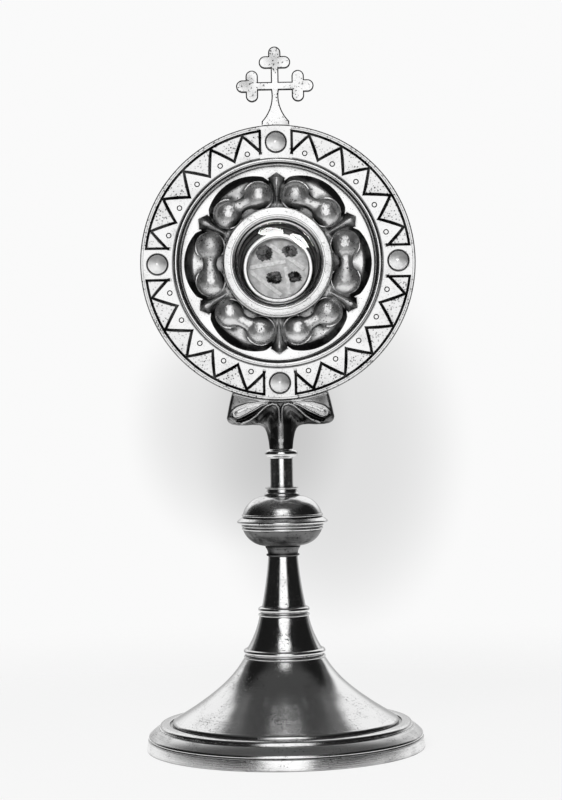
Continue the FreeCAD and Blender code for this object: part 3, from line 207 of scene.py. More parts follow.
table_mesh = bpy.data.meshes.new("table")
table_shape = bmesh.new()
bmesh.ops.create_circle(table_shape, cap_ends=True, segments=96, radius=1.2)
table_shape.to_mesh(table_mesh)
table_shape.free()
table = bpy.data.objects.new("table", table_mesh)
bpy.context.scene.collection.objects.link(table)
paper, sheet = blank_finish("table_paper")
table_mesh.materials.append(paper)
x, y, z = sheet.add("ShaderNodeTexCoord", output="Object").apart()
reach = sheet.math("SQRT", x * x + y * y)
mirrored = sheet.add("ShaderNodeLightPath", output="Is Glossy Ray")
surface = sheet.add(
    "ShaderNodeBsdfPrincipled",
    {"Base Color": (0.92, 0.92, 0.92, 1), "Roughness": 0.7, "Specular IOR Level": 0.2},
)
bright = sheet.add("ShaderNodeEmission", {"Color": (0.985, 0.985, 0.985, 1), "Strength": 1.0})
seen = sheet.add("ShaderNodeLightPath", output="Is Camera Ray")
seen = seen.math("MAXIMUM", seen, mirrored)
lifted = sheet.add("ShaderNodeMixShader", {0: seen * 0.85, 1: surface, 2: bright})
clear = sheet.add("ShaderNodeBsdfTransparent")
mixed = sheet.add("ShaderNodeMixShader", {0: reach.ramp(0.14, 0.5), 1: lifted, 2: clear})
sheet.add("ShaderNodeOutputMaterial", {"Surface": mixed})

drop_mesh = bpy.data.meshes.new("backdrop")
drop_shape = bmesh.new()
bmesh.ops.create_grid(drop_shape, x_segments=1, y_segments=1, size=2)
bmesh.ops.rotate(
    drop_shape, verts=drop_shape.verts, cent=(0, 0, 0), matrix=Matrix.Rotation(math.pi / 2, 3, "X"),
)
bmesh.ops.translate(drop_shape, verts=drop_shape.verts, vec=(0, 1.5, 0.3))
drop_shape.to_mesh(drop_mesh)
drop_shape.free()
drop = bpy.data.objects.new("backdrop", drop_mesh)
bpy.context.scene.collection.objects.link(drop)
drop.visible_diffuse = False
drop.visible_glossy = False
drop.visible_shadow = False
hanging, hung = blank_finish("backdrop_cloth")
drop_mesh.materials.append(hanging)
x, y, z = hung.add("ShaderNodeTexCoord", output="Object").apart()


def shadow(middle_x, middle_z, half_width, half_height):
    """A soft oval shadow on the backdrop, one at its middle."""
    across, upward = (x - middle_x) / half_width, (z - middle_z) / half_height
    return (across * across + upward * upward).ramp(1, 0)


grey = 0.22 * shadow(0.06, 0.09, 0.17, 0.24) + 0.20 * shadow(-0.05, 0.12, 0.14, 0.16)
shade = hung.math("MULTIPLY", 1 - grey, WHITE_GROUND)
colour = hung.add("ShaderNodeCombineXYZ", {0: shade, 1: shade, 2: shade})
glow = hung.add("ShaderNodeEmission", {"Color": colour, "Strength": 1.0})
hung.add("ShaderNodeOutputMaterial", {"Surface": glow})


# --------------------------------------------------
# Foot: a cast base ring with a band, a rounded shoulder and a step, and a spun skirt that stands
# in its seat.  Both are turned, polished and silvered.
# --------------------------------------------------

MM = 0.001


def base_of(node):
    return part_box(node)[0][2]


def arc(start, middle, end, count=8):
    """Points on the circle through three points, without the last one."""
    (ax, ay), (bx, by), (cx, cy) = start, middle, end
    cross = 2 * (ax * (by - cy) + bx * (cy - ay) + cx * (ay - by))
    a2, b2, c2 = ax * ax + ay * ay, bx * bx + by * by, cx * cx + cy * cy
    x = (a2 * (by - cy) + b2 * (cy - ay) + c2 * (ay - by)) / cross
    y = (a2 * (cx - bx) + b2 * (ax - cx) + c2 * (bx - ax)) / cross
    radius = math.hypot(ax - x, ay - y)
    first = math.atan2(ay - y, ax - x)
    to_middle = (math.atan2(by - y, bx - x) - first) % math.tau
    to_end = (math.atan2(cy - y, cx - x) - first) % math.tau
    if to_middle > to_end:
        to_end -= math.tau
    return [
        (
            x + radius * math.cos(first + to_end * step / count),
            y + radius * math.sin(first + to_end * step / count),
        )
        for step in range(count)
    ]


def flow(points, count=8):
    """Points on a smooth line through the given ones, without the last one."""
    line = []
    ends = [points[0], *points, points[-1]]
    for a, b, c, d in zip(ends, ends[1:], ends[2:], ends[3:]):
        for step in range(count):
            t = step / count
            line.append(tuple(
                0.5 * (
                    2 * q + (r - p) * t
                    + (2 * p - 5 * q + 4 * r - s) * t * t
                    + (3 * q - p - 3 * r + s) * t ** 3
                )
                for p, q, r, s in zip(a, b, c, d)
            ))
    return line


def turned(profile, steps=160, edge=0.15):
    """A turned piece: an outline of (radius, height) in millimetres, spun once round, with its
    sharp edges broken."""
    shape = bmesh.new()
    corners = [shape.verts.new((radius * MM, 0, height * MM)) for radius, height in profile]
    closed = profile[0][0] > 0 or profile[-1][0] > 0
    after = corners[1:] + (corners[:1] if closed else [])
    lines = [shape.edges.new(pair) for pair in zip(corners, after)]
    bmesh.ops.spin(
        shape, geom=corners + lines, cent=(0, 0, 0), axis=(0, 0, 1),
        angle=math.tau, steps=steps, use_merge=True,
    )
    bmesh.ops.remove_doubles(shape, verts=shape.verts, dist=1e-7)
    bmesh.ops.recalc_face_normals(shape, faces=shape.faces)
    if edge:
        sharp = [line for line in shape.edges if line.calc_face_angle(0) > 0.5]
        bmesh.ops.bevel(
            shape, geom=sharp, offset=edge * MM, offset_type="OFFSET", segments=2,
            profile=0.5, affect="EDGES", material=-1, clamp_overlap=True,
        )
    return shape


def upright(shape, base):
    """Stands a piece on the axis at a level in metres."""
    bmesh.ops.translate(shape, verts=shape.verts, vec=(0, 0, base))
    return shape


def make(name, shape, body, material, replaced=(), weighted=True):
    """The finished object: its mesh, finish and body, with the nodes that it stands for hidden."""
    mesh = bpy.data.meshes.new(name)
    shape.to_mesh(mesh)
    shape.free()
    mesh.shade_smooth()
    mesh.materials.append(material)
    piece = bpy.data.objects.new(name, mesh)
    bpy.context.scene.collection.objects.link(piece)
    if weighted:
        weigh = piece.modifiers.new("weighted_normals", "WEIGHTED_NORMAL")
        weigh.weight = 80
        weigh.keep_sharp = True
    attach(piece, body)
    if replaced:
        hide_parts(*replaced)
    return piece


def silver(name, roughness, facing=False, lines=0.25, pits=0.15, mottle=0.2, tarnish=0.5,
           tone=0.88, dark_rings=(), slope_shade=None, flat_shade=0.0, brushed=None, stained=False,
           satin=0.0, inward_shade=0.0):
    """Silvered brass: turning lines round the axis, fine pits, cloudy wear, and dark silver
    sulphide in the hollows.  Painted shade darkens faces turned edge-on to the front, faces that
    look to the front, and whole pieces by a flat amount; a mesh attribute adds painted shade and
    highlights, and dark rings are painted at given radii."""
    material, metal = blank_finish(name)
    place = metal.add("ShaderNodeTexCoord", output="Object")
    x, y, z = place.apart()
    if facing:
        rise = z - head_level
        along = metal.math("SQRT", x * x + rise * rise)
    else:
        along = z
    turning = metal.add(
        "ShaderNodeTexNoise", {"W": along * 2600, "Detail": 2.0}, noise_dimensions="1D",
    )
    cloud = metal.add("ShaderNodeTexNoise", {"Vector": place, "Scale": 90.0, "Detail": 6.0})
    speck = metal.add("ShaderNodeTexNoise", {"Vector": place, "Scale": 1400.0, "Detail": 3.0})
    stretched = metal.add("ShaderNodeMapping", {0: place, "Scale": (1.0, 1.0, 9.0)})
    scratch = metal.add(
        "ShaderNodeTexVoronoi", {"Vector": stretched, "Scale": 210.0}, feature="DISTANCE_TO_EDGE",
    ).ramp(0.0, 0.018, 1, 0)
    hollow = metal.add(
        "ShaderNodeAmbientOcclusion", {"Distance": 0.0022}, output="AO", samples=6,
    ).ramp(0.25, 0.85, 1, 0)
    worn = cloud.ramp(0.45, 0.75)
    pit = speck.ramp(0.32, 0.39, 1, 0) * cloud.ramp(0.38, 0.56)
    streak = metal.add(
        "ShaderNodeTexNoise", {"W": along * 900, "Detail": 1.0}, noise_dimensions="1D",
    ).ramp(0.56, 0.7) * cloud.ramp(0.4, 0.62)
    # A flat amount given per material, added here, is painted shade over the whole piece.
    tarnish_and_painted_light = hollow * tarnish + pit * pits + worn * (mottle * 0.22) + streak * (lines * 0.4) + flat_shade
    tarnish_and_painted_light = tarnish_and_painted_light + scratch * cloud.ramp(0.4, 0.6) * (lines * 0.35)
    # A mesh attribute adds painted shade and painted highlights.
    if stained:
        shade_and_highlight = metal.add("ShaderNodeAttribute", output="Fac", attribute_name="shade_and_highlight")
        tarnish_and_painted_light = tarnish_and_painted_light + shade_and_highlight * cloud.ramp(0.3, 0.6, 0.75, 1.1)
    # Painted shade: faces turned edge-on to the front are darkened.
    if slope_shade:
        clean, black, amount = slope_shade
        ahead = metal.add("ShaderNodeNewGeometry", output="Normal").apart()[1]
        tarnish_and_painted_light = tarnish_and_painted_light + metal.math("ABSOLUTE", ahead).ramp(clean, black, 0, amount)
    # Painted shade: faces that look to the front, as those deep in the housing do, are darkened.
    if inward_shade:
        normal = metal.add(
            "ShaderNodeVectorTransform",
            {"Vector": metal.add("ShaderNodeNewGeometry", output="Normal")},
            vector_type="NORMAL", convert_from="WORLD", convert_to="OBJECT",
        )
        tarnish_and_painted_light = tarnish_and_painted_light + (0 - normal.apart()[1]).ramp(0.3, 0.8, 0, inward_shade)
    # Dark rings painted at given radii.
    for middle, half in dark_rings:
        off = metal.math("ABSOLUTE", along - middle * MM)
        tarnish_and_painted_light = tarnish_and_painted_light + off.ramp(half * 0.5 * MM, half * MM, 0.92, 0)
    tarnish_and_painted_light = metal.math("MAXIMUM", metal.math("MINIMUM", tarnish_and_painted_light, 1.0), 0.0)
    relief = turning * (0.35 * lines) - pit * pits + cloud * (mottle * 0.6) - scratch * 0.08
    bumped = metal.add(
        "ShaderNodeBump", {"Strength": 0.25, "Distance": 0.00012, "Height": relief},
    )
    dull = roughness + worn * (mottle * 0.14) + tarnish_and_painted_light * 0.16 + turning * 0.04 * lines
    if brushed:
        low, high, extra = brushed
        dull = dull + z.ramp(low - 0.0002, low, 0, extra) * z.ramp(high, high + 0.0002, 1, 0)
    shine = metal.add(
        "ShaderNodeBsdfPrincipled",
        {
            "Base Color": tarnish_and_painted_light.grey(tone, 0.03),
            "Metallic": 1.0,
            "Roughness": dull,
            "Normal": bumped,
        },
    )
    if satin:
        frosted = metal.add(
            "ShaderNodeBsdfPrincipled",
            {
                "Base Color": tarnish_and_painted_light.grey(tone, 0.03), "Metallic": 1.0, "Roughness": 0.6,
                "Normal": bumped,
            },
        )
        shine = metal.add(
            "ShaderNodeMixShader", {0: satin - worn * 0.15 + tarnish_and_painted_light * 0.1, 1: shine, 2: frosted},
        )
    metal.add("ShaderNodeOutputMaterial", {"Surface": shine})
    return material


head_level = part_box("window_glass")[0][2] / 2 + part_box("window_glass")[1][2] / 2
turned_silver = silver("turned_silver", 0.10, lines=0.55, pits=0.8, mottle=0.5, tarnish=0.9)
base_silver = silver(
    "base_silver", 0.12, lines=0.7, pits=0.7, mottle=0.6, tarnish=0.9, brushed=(0.0064, 0.0090, 0.18),
)

shoulder = 54.9
base_profile = [
    (59.45, 0.0),
    (59.5, 0.5),
    (59.0, 4.5),
    (58.3, 4.75),
    (58.3, 5.1),
    *arc((58.75, 5.3), (58.6, 6.05), (58.1, 6.6), 5),
    *arc((58.1, 6.6), (56.6, 7.95), (shoulder, 9.15), 6),
    (shoulder, 9.15),
    (54.3, 9.05),
    (54.1, 9.35),
    (54.05, 9.45),
    *arc((53.98, 10.1), (53.5, 10.85), (52.6, 11.12), 6),
    (52.6, 11.12),
    (50.4, 11.2),
    (49.6, 11.1),
    (49.6, 10.4),
    (46.4, 10.4),
    (46.4, 8.4),
    (51.6, 8.4),
    (52.9, 7.2),
    (57.5, 4.6),
    (57.5, 0.0),
]
make(
    "base_ring", upright(turned(base_profile, 224, 0.2), 0), "monstrance",
    base_silver, ["foot_base_ring"],
)

skirt_profile = [
    (48.4, 0.0),
    *arc((48.4, 0.9), (48.0, 1.7), (47.2, 2.25), 5),
    *flow([(47.2, 2.25), (42.6, 5.05), (37.8, 8.15), (31.4, 12.75), (25.3, 17.95),
           (20.6, 23.2), (17.2, 28.2)], 7),
    (17.2, 28.2),
    (8.5, 28.2),
    (8.5, 26.6),
    (15.1, 26.6),
    *arc((15.1, 26.6), (24.0, 16.9), (36.5, 7.0), 16),
    (36.5, 7.0),
    (46.4, 0.0),
]
make(
    "spun_skirt", upright(turned(skirt_profile, 224, 0.1), base_of("foot_skirt")), "monstrance",
    turned_silver, ["foot_skirt"],
)


# --------------------------------------------------
# Stem: two hollow cones between grooved rings, turned from thick tube.  Each ring has a fine lip,
# a cut groove and a heavier bead.
# --------------------------------------------------

def grooved_ring(radius, bore, neck):
    return [
        (bore, 0),
        (radius - 0.3, 0),
        *arc((radius - 0.3, 0), (radius, 0.42), (radius - 0.3, 0.85), 6),
        (radius - 0.3, 0.85),
        (radius - 0.95, 1.05),
        (radius - 0.95, 1.7),
        (radius - 0.3, 1.9),
        *arc((radius - 0.3, 1.9), (radius, 2.7), (radius - 0.4, 3.5), 8),
        *arc((radius - 0.4, 3.5), (radius * 0.5 + neck * 0.5, 3.72), (neck, 3.8), 4),
        (neck, 3.8),
        (bore, 3.8),
    ]


def hollow_cone(foot, top, height, sag, bore):
    middle = ((foot + top) / 2 - sag, height / 2)
    return [(bore, 0), *arc((foot, 0), middle, (top, height), 20), (top, height), (bore, height)]


STEM = {
    "lower_ring": ("stem_ring_lower", grooved_ring(17.5, 8.5, 16.0)),
    "lower_cone": ("stem_cone_lower", hollow_cone(16.0, 10.5, 14.0, 0.75, 8.5)),
    "upper_ring": ("stem_ring_upper", grooved_ring(11.0, 4.5, 9.4)),
    "upper_cone": ("stem_cone_upper", hollow_cone(9.4, 6.3, 21.8, 0.35, 4.5)),
}
for name, (node, profile) in STEM.items():
    shape = upright(turned(profile, 128, 0.06), base_of(node))
    make(name, shape, "monstrance", turned_silver, [node])


# --------------------------------------------------
# Knop: two spun bowls on a belt of beads, between two small collars.  The belt is turned from
# solid, and its grooves hold dark tarnish.
# --------------------------------------------------

ROD = 2.1


def collar(height):
    return [
        (ROD, 0),
        (6.9, 0),
        *arc((6.9, 0.0), (7.1, 0.4), (6.9, 0.8), 5),
        (6.9, 0.8),
        *flow([(6.45, 0.85), (6.5, (height - 1) * 0.5), (6.85, (height - 1) * 0.8),
               (7.3, height - 1.0)], 4),
        *arc((7.3, height - 1), (7.5, height - 0.5), (7.4, height), 5),
        (7.4, height),
        (ROD, height),
    ]


def bowl(height, bulge_radius, bulge_height):
    return [
        (ROD, 0),
        (8.15, 0),
        *arc((8.15, 0), (bulge_radius, bulge_height), (16.9, height), 24),
        (16.9, height),
        (15.6, height),
        *arc((15.6, height), (bulge_radius - 1.0, bulge_height + 0.9), (8.15, 1.3), 16),
        (8.15, 1.3),
        (ROD, 1.3),
    ]


def turned_over(profile, height):
    return [(radius, height - level) for radius, level in profile]


belt_profile = [
    (15.6, 0),
    *arc((16.9, 0.0), (17.4, 0.5), (17.1, 1.05), 7),
    (17.1, 1.05),
    (16.55, 1.2),
    *arc((16.75, 1.35), (17.55, 1.75), (17.3, 2.2), 7),
    (17.3, 2.2),
    (17.5, 2.4),
    *flow([(18.2, 2.55), (18.9, 2.85), (19.32, 3.15), (19.4, 3.5), (19.25, 3.9), (18.7, 4.35),
           (17.95, 4.95), (17.35, 5.3)], 3),
    (16.95, 5.35),
    (16.75, 5.6),
    *arc((17.0, 5.65), (17.4, 6.15), (16.95, 6.8), 7),
    (16.95, 6.8),
    (15.6, 6.8),
]
KNOP = {
    "lower_collar": ("knop_collar_lower", collar(4.4)),
    "lower_bowl": ("knop_bowl_lower", bowl(6.8, 13.75, 2.25)),
    "belt": ("knop_belt", belt_profile),
    "upper_bowl": ("knop_bowl_upper", turned_over(bowl(7.6, 14.8, 3.5), 7.6)),
    "upper_collar": ("knop_collar_upper", turned_over(collar(3.8), 3.8)),
}
spun_silver = silver("spun_silver", 0.14, lines=0.7, pits=0.9, mottle=1.1, tarnish=1.0)
# A darker copy of the spun silver for the pieces under the knop: heavier wear and pits, and a flat
# painted shade.
shaded_underside_silver = silver("shaded_underside_silver", 0.2, lines=0.8, pits=1.0, mottle=1.8, tarnish=1.0, flat_shade=0.82)
for name, (node, profile) in KNOP.items():
    shape = upright(turned(profile, 144, 0.06), base_of(node))
    metal = shaded_underside_silver if name.startswith("lower") else spun_silver
    make(name, shape, "monstrance", metal, [node])

neck_tube = [(ROD, 0), (4.95, 0), (4.95, 12.2), (ROD, 12.2)]
neck_bead = [
    (ROD, 0),
    (4.95, 0),
    (5.5, 0.35),
    *arc((5.5, 0.6), (7.1, 2.1), (5.5, 3.6), 14),
    (5.5, 3.6),
    (5.1, 4.0),
    (4.95, 4.2),
    (ROD, 4.2),
]
for name, node, profile in (
    ("neck_tube", "stem_tube", neck_tube),
    ("neck_bead", "stem_bead", neck_bead),
):
    shape = upright(turned(profile, 96, 0.08), base_of(node))
    make(name, shape, "monstrance", turned_silver, [node])


# --------------------------------------------------
# Rosette: cast, with six petals that swell up from the dish, a pair of bosses joined by a bridge
# on each petal, and a ridged, pointed sepal between two petals.
# --------------------------------------------------

def to_head(shape):
    """Turns a piece made with +Z to the front so that it faces the front at the head's centre."""
    turn = Matrix.Translation((0, 0, head_level)) @ Matrix.Rotation(math.radians(90), 4, "X")
    bmesh.ops.transform(shape, matrix=turn, verts=shape.verts)
    return shape


def share(value, low, high):
    """Zero at low, one at high, smooth between."""
    t = min(1.0, max(0.0, (value - low) / (high - low)))
    return t * t * (3 - 2 * t)


def between(value, table):
    """A value read from a table of pairs, in straight runs."""
    for (x0, y0), (x1, y1) in zip(table, table[1:]):
        if value <= x1:
            return y0 + (y1 - y0) * max(0.0, value - x0) / (x1 - x0)
    return table[-1][1]


DISH_FLOOR = -5.0
PETAL_TOP = -2.0
BOSS = 6.1
BOSS_OUT = 29.03
BOSS_ASIDE = 7.56
BRIDGE_OUT = 29.2
PETAL_HALF = 24.4
PETAL_CENTRE = 19.93
PETAL_ROUND = 20.57
BOSS_RISE = 2.9
BOSS_ROUND = (BOSS * BOSS + BOSS_RISE * BOSS_RISE) / (2 * BOSS_RISE)
SEPAL_WIDTH = [(23, 1.5), (29, 1.35), (32.5, 1.9), (35.5, 3.3), (37.0, 3.6), (38.3, 2.3), (39.6, 0.3)]
SEPAL_TOP = [(23, -2.0), (28, -1.5), (33, -0.7), (36.5, -0.6), (38.2, -2.2), (39.3, -4.4)]


def petal_edge(angle):
    """The rosette's outline radius at an angle from a petal's middle, in radians."""
    angle = abs(angle)
    if angle < math.radians(PETAL_HALF):
        aside = PETAL_CENTRE * math.sin(angle)
        return PETAL_CENTRE * math.cos(angle) + math.sqrt(PETAL_ROUND ** 2 - aside ** 2)
    across = (math.degrees(angle) - PETAL_HALF) / (30 - PETAL_HALF)
    return 37.0 + 2.3 * across ** 1.3


def rosette_height(radius, angle):
    """The casting's height at a radius and an angle from a petal's middle."""
    out, side = radius * math.cos(angle), abs(radius * math.sin(angle))
    inward = petal_edge(angle) - radius
    swell = math.sin(math.pi / 2 * min(1.0, inward / 4.4))
    height = DISH_FLOOR + (PETAL_TOP - DISH_FLOOR) * swell
    from_axis = math.pi / 6 - abs(angle)
    height -= 1.3 * share(math.degrees(from_axis), 9.5, 4.5) * share(radius, 25, 28)
    reach = math.hypot(out - BOSS_OUT, side - BOSS_ASIDE)
    tops = []
    if reach < BOSS:
        tops.append(math.sqrt(BOSS_ROUND ** 2 - reach ** 2) - BOSS_ROUND + BOSS_RISE)
    half = 2.75 + 0.07 * side * side
    if side < 5 and abs(out - BRIDGE_OUT) < half:
        tops.append(1.7 * math.sqrt(1 - ((out - BRIDGE_OUT) / half) ** 2))
    if tops:
        blend = 0.34
        boss = blend * math.log(sum(math.exp(top / blend) for top in tops))
        height = max(height, PETAL_TOP + boss - 0.02)
    rim = abs(reach - BOSS - 0.32)
    if side > 3.0 and rim < 0.5:
        height += 0.30 * (1 - rim / 0.5) ** 2 * share(side, 3.0, 4.2)
    along, across = radius * math.cos(from_axis), radius * math.sin(from_axis)
    half = between(along, SEPAL_WIDTH)
    if across < half:
        top = between(along, SEPAL_TOP)
        sepal = top - (top + 3.9) * (across / half) ** 1.15
        sepal -= 0.4 * math.exp(-((across / 0.25) ** 2)) * share(along, 32.5, 34) * share(along, 37, 36)
        sepal -= 0.45 * math.exp(-(((across - 0.75) / 0.22) ** 2)) * share(along, 32, 30)
        height = max(height, sepal)
    pitted = noise.noise(Vector((radius * math.cos(angle) * 1.3, radius * math.sin(angle) * 1.3, 0)))
    height += 0.05 * pitted
    return PETAL_TOP + (height - PETAL_TOP) * share(radius, 23.6, 24.6)


def rosette_shade_and_highlight(radius, angle):
    """The painted shade and highlight at a radius and an angle from a petal's middle: shade on the
    petals' outer swell, on the inner field, round the bosses, at the bridges' ends and on the sepals'
    flanks, and a highlight along each boss's outline.
    """
    out, side = radius * math.cos(angle), abs(radius * math.sin(angle))
    inward = petal_edge(angle) - radius
    reach = math.hypot(out - BOSS_OUT, side - BOSS_ASIDE)
    from_axis = math.pi / 6 - abs(angle)
    along, across = radius * math.cos(from_axis), radius * math.sin(from_axis)
    if across < between(along, SEPAL_WIDTH):
        return 0.25 + 0.45 * share(across, 0.5, 1.6)
    if reach < BOSS - 0.1:
        return 0.16 * share(reach, 3.4, 5.9) * share(side, 1.2, 3.0)
    # A painted highlight along the outline of each boss.
    if reach < BOSS + 0.3 and side > 4.0:
        return -0.5
    if side < 4.2 and abs(out - BRIDGE_OUT) < 2.9 + 0.07 * side * side:
        return 0.05 + 0.6 * share(abs(out - BRIDGE_OUT), 1.6, 3.0)
    shade_and_highlight = 0.92 * share(inward, 4.6, 2.6)
    if radius < 30:
        shade_and_highlight = max(shade_and_highlight, 0.55)
    return max(shade_and_highlight, 0.7 * share(reach, BOSS + 2.8, BOSS + 0.6))


rosette_shape = bmesh.new()
ROSETTE_BORE = 22.0
line = [rosette_shape.verts.new(((ROSETTE_BORE + step * 0.2) * MM, 0, 0)) for step in range(93)]
runs = [rosette_shape.edges.new(pair) for pair in zip(line, line[1:])]
bmesh.ops.spin(
    rosette_shape, geom=line + runs, cent=(0, 0, 0), axis=(0, 0, 1), angle=math.tau,
    steps=720, use_merge=True,
)
bmesh.ops.remove_doubles(rosette_shape, verts=rosette_shape.verts, dist=1e-7)
# The mesh carries the painted shade and highlight as an attribute.
shade_layer = rosette_shape.verts.layers.float.new("shade_and_highlight")
for vert in rosette_shape.verts:
    radius = vert.co.xy.length / MM
    angle = math.atan2(vert.co.y, vert.co.x)
    from_middle = (angle + math.pi / 6) % (math.pi / 3) - math.pi / 6
    outer = petal_edge(from_middle)
    radius = ROSETTE_BORE + (radius - ROSETTE_BORE) / 18.4 * (outer - ROSETTE_BORE)
    height = rosette_height(radius, from_middle)
    vert[shade_layer] = rosette_shade_and_highlight(radius, from_middle)
    vert.co = (radius * math.cos(angle) * MM, radius * math.sin(angle) * MM, height * MM)
rosette_rims = [line for line in rosette_shape.edges if line.is_boundary]
walls = bmesh.ops.extrude_edge_only(rosette_shape, edges=rosette_rims)["geom"]
for vert in walls:
    if isinstance(vert, bmesh.types.BMVert):
        vert.co.z = (DISH_FLOOR + 0.02) * MM
bmesh.ops.recalc_face_normals(rosette_shape, faces=rosette_shape.faces)
# The rosette's silver takes painted shade on faces turned edge-on to the front, and painted shade and
# highlights from its attribute.
cast_silver = silver(
    "cast_silver", 0.22, facing=True, lines=0.0, pits=1.6, mottle=1.5, tarnish=0.8, satin=0.3,
    tone=0.95, slope_shade=(0.97, 0.62, 0.12), stained=True,
)
make(
    "petal_rosette", to_head(rosette_shape), "monstrance", cast_silver,
    ["rosette"], weighted=False,
)


# --------------------------------------------------
# Moulding, dish and bezel: turned rings that face the front.  The moulding closes the plate's
# bore, the dish is a shallow pan behind it, and the bezel holds the domed window.
# --------------------------------------------------

# Dark rings are painted along the moulding's grooves and at the bezel's edges.
ring_silver = silver(
    "ring_silver", 0.19, facing=True, lines=0.2, pits=0.5, mottle=0.35,
    dark_rings=((44.95, 0.4), (42.45, 0.5), (23.8, 0.25), (20.15, 0.12), (18.35, 0.5)),
)

moulding_profile = [
    (42.0, -1.2),
    (43.15, -1.2),
    (43.15, 1.0),
    (44.9, 1.15),
    *arc((44.85, 1.25), (44.65, 2.0), (44.2, 2.3), 5),
    *arc((44.2, 2.3), (43.8, 2.4), (43.35, 2.3), 4),
    *arc((43.35, 2.3), (43.0, 2.1), (42.9, 1.75), 4),
    (42.9, 1.75),
    (42.75, 1.5),
    *arc((42.6, 1.55), (42.3, 1.85), (42.0, 1.5), 6),
    (42.0, 1.5),
]
dish_profile = [
    (42.0, -1.2),
    (47.0, -1.2),
    (47.0, -2.0),
    (42.8, -2.0),
    *arc((42.8, -4.2), (42.4, -5.3), (41.2, -5.8), 6),
    (41.2, -5.8),
    (18.05, -5.8),
    (18.05, -5.0),
    *arc((41.3, -5.0), (41.8, -4.8), (42.0, -4.3), 6),
    (42.0, -4.3),
]
bezel_profile = [
    (18.05, -5.0),
    (21.95, -5.0),
    (21.95, -1.95),
    (22.9, -1.95),
    (23.55, -1.75),
    *flow([(23.7, -1.05), (23.7, 1.2), (23.65, 2.9), (23.5, 3.5), (23.1, 3.78), (21.8, 3.97),
           (20.6, 4.1), (19.8, 4.18), (19.45, 4.08), (19.3, 3.85)], 5),
    (19.3, 3.85),
    (19.2, 3.2),
    (18.8, 3.0),
    *arc((18.8, 3.0), (18.2, 1.6), (17.3, 1.1), 8),
    (17.3, 1.1),
    (17.3, 0.6),
    (18.25, 0.6),
    (18.25, -2.45),
    (18.05, -2.45),
]
for name, node, profile in (
    ("bead_moulding", "moulding_ring", moulding_profile),
    ("dish", "dish_pan", dish_profile),
    ("bezel", "window_bezel", bezel_profile),
):
    make(
        name, to_head(turned(profile, 192, 0.08)), "monstrance", ring_silver,
        [node],
    )


# --------------------------------------------------
# Face plate: rolled sheet, engraved with a toothed border and punched circlets.  The cuts are
# filled with black, and the triangles between the teeth and the border are stippled.
# --------------------------------------------------

plate_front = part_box("face_plate")[0][1]
engraved, plate = blank_finish("engraved_silver")
TOOTH_PITCH = 15.1
TOOTH_INNER = 0.0469
TOOTH_OUTER = 0.0559
BORDER_RADIUS = 0.0567
FIELD_LINE = 0.0068
CUT_HALF = 0.00042
place = plate.add("ShaderNodeTexCoord", output="Object")
x, y, z = place.apart()
rise = z - head_level
radius = plate.math("SQRT", x * x + rise * rise)
depth = y - plate_front
on_front = depth.ramp(0.0006, 0.0007, 1, 0)
from_stone = plate.math("MINIMUM", x.math("ABSOLUTE", x), rise.math("ABSOLUTE", rise))
turn = plate.math("ARCTAN2", rise, x) * (180 / math.pi) + 360
quarter = turn.math("MODULO", turn, 90.0) - 45
tooth = (quarter + TOOTH_PITCH * 2.5) / TOOTH_PITCH
tooth = tooth.math("FRACT", tooth) * 2 - 1
tooth_radius = TOOTH_INNER + (TOOTH_OUTER - TOOTH_INNER) * (1 - tooth.math("ABSOLUTE", tooth))
beyond = radius - tooth_radius
in_quarter = quarter.math("ABSOLUTE", quarter).ramp(38.2, 38.6, 1, 0)
off = beyond.math("ABSOLUTE", beyond) * 0.6
line = off.ramp(CUT_HALF, 0.00076, 1, 0) * in_quarter * from_stone.ramp(0.0064, 0.0067)
off = radius - BORDER_RADIUS
off = off.math("ABSOLUTE", off)
border = off.ramp(CUT_HALF, 0.00066, 1, 0) * from_stone.ramp(0.0062, 0.0064)
line = line.math("MAXIMUM", line, border)
off = from_stone - FIELD_LINE
off = off.math("ABSOLUTE", off)
in_border = radius.ramp(0.0464, 0.0467) * radius.ramp(0.0572, 0.0574, 1, 0)
line = line.math("MAXIMUM", line, off.ramp(CUT_HALF, 0.00070, 1, 0) * in_border)
line = line * on_front
cut = depth.ramp(0.00001, 0.00014) * on_front
uncrowded = radius.ramp(0.0466, 0.0470)
uncrowded = uncrowded.math("MAXIMUM", uncrowded, from_stone.ramp(0.0080, 0.0085))
cut = cut * radius.ramp(0.0455, 0.0458) * radius.ramp(0.0584, 0.0586, 1, 0)
# Painted shade: a dark line along the plate's rounded outer edge and beside the moulding, left off
# under the cross.
below_cross = x.math("ABSOLUTE", x).ramp(0.0072, 0.0064) * rise.ramp(0, 0.001)
rim = radius.ramp(0.0582, 0.0589) * 0.7 + radius.ramp(0.0456, 0.0452) * 0.5
fine = radius.math("ABSOLUTE", radius - 0.0578).ramp(0.0, 0.00022, 0.45, 0)
cloud = plate.add("ShaderNodeTexNoise", {"Vector": place, "Scale": 120.0, "Detail": 6.0})
speck = plate.add("ShaderNodeTexNoise", {"Vector": place, "Scale": 1500.0, "Detail": 2.0})
dot = plate.add("ShaderNodeTexVoronoi", {"Vector": place, "Scale": 900.0})
outer_field = beyond.ramp(-0.0002, 0.0006) * in_quarter * on_front
stipple = dot.ramp(0.15, 0.4, 1, 0) * cloud.ramp(0.4, 0.6, 0.4, 1) * (0.25 + outer_field)
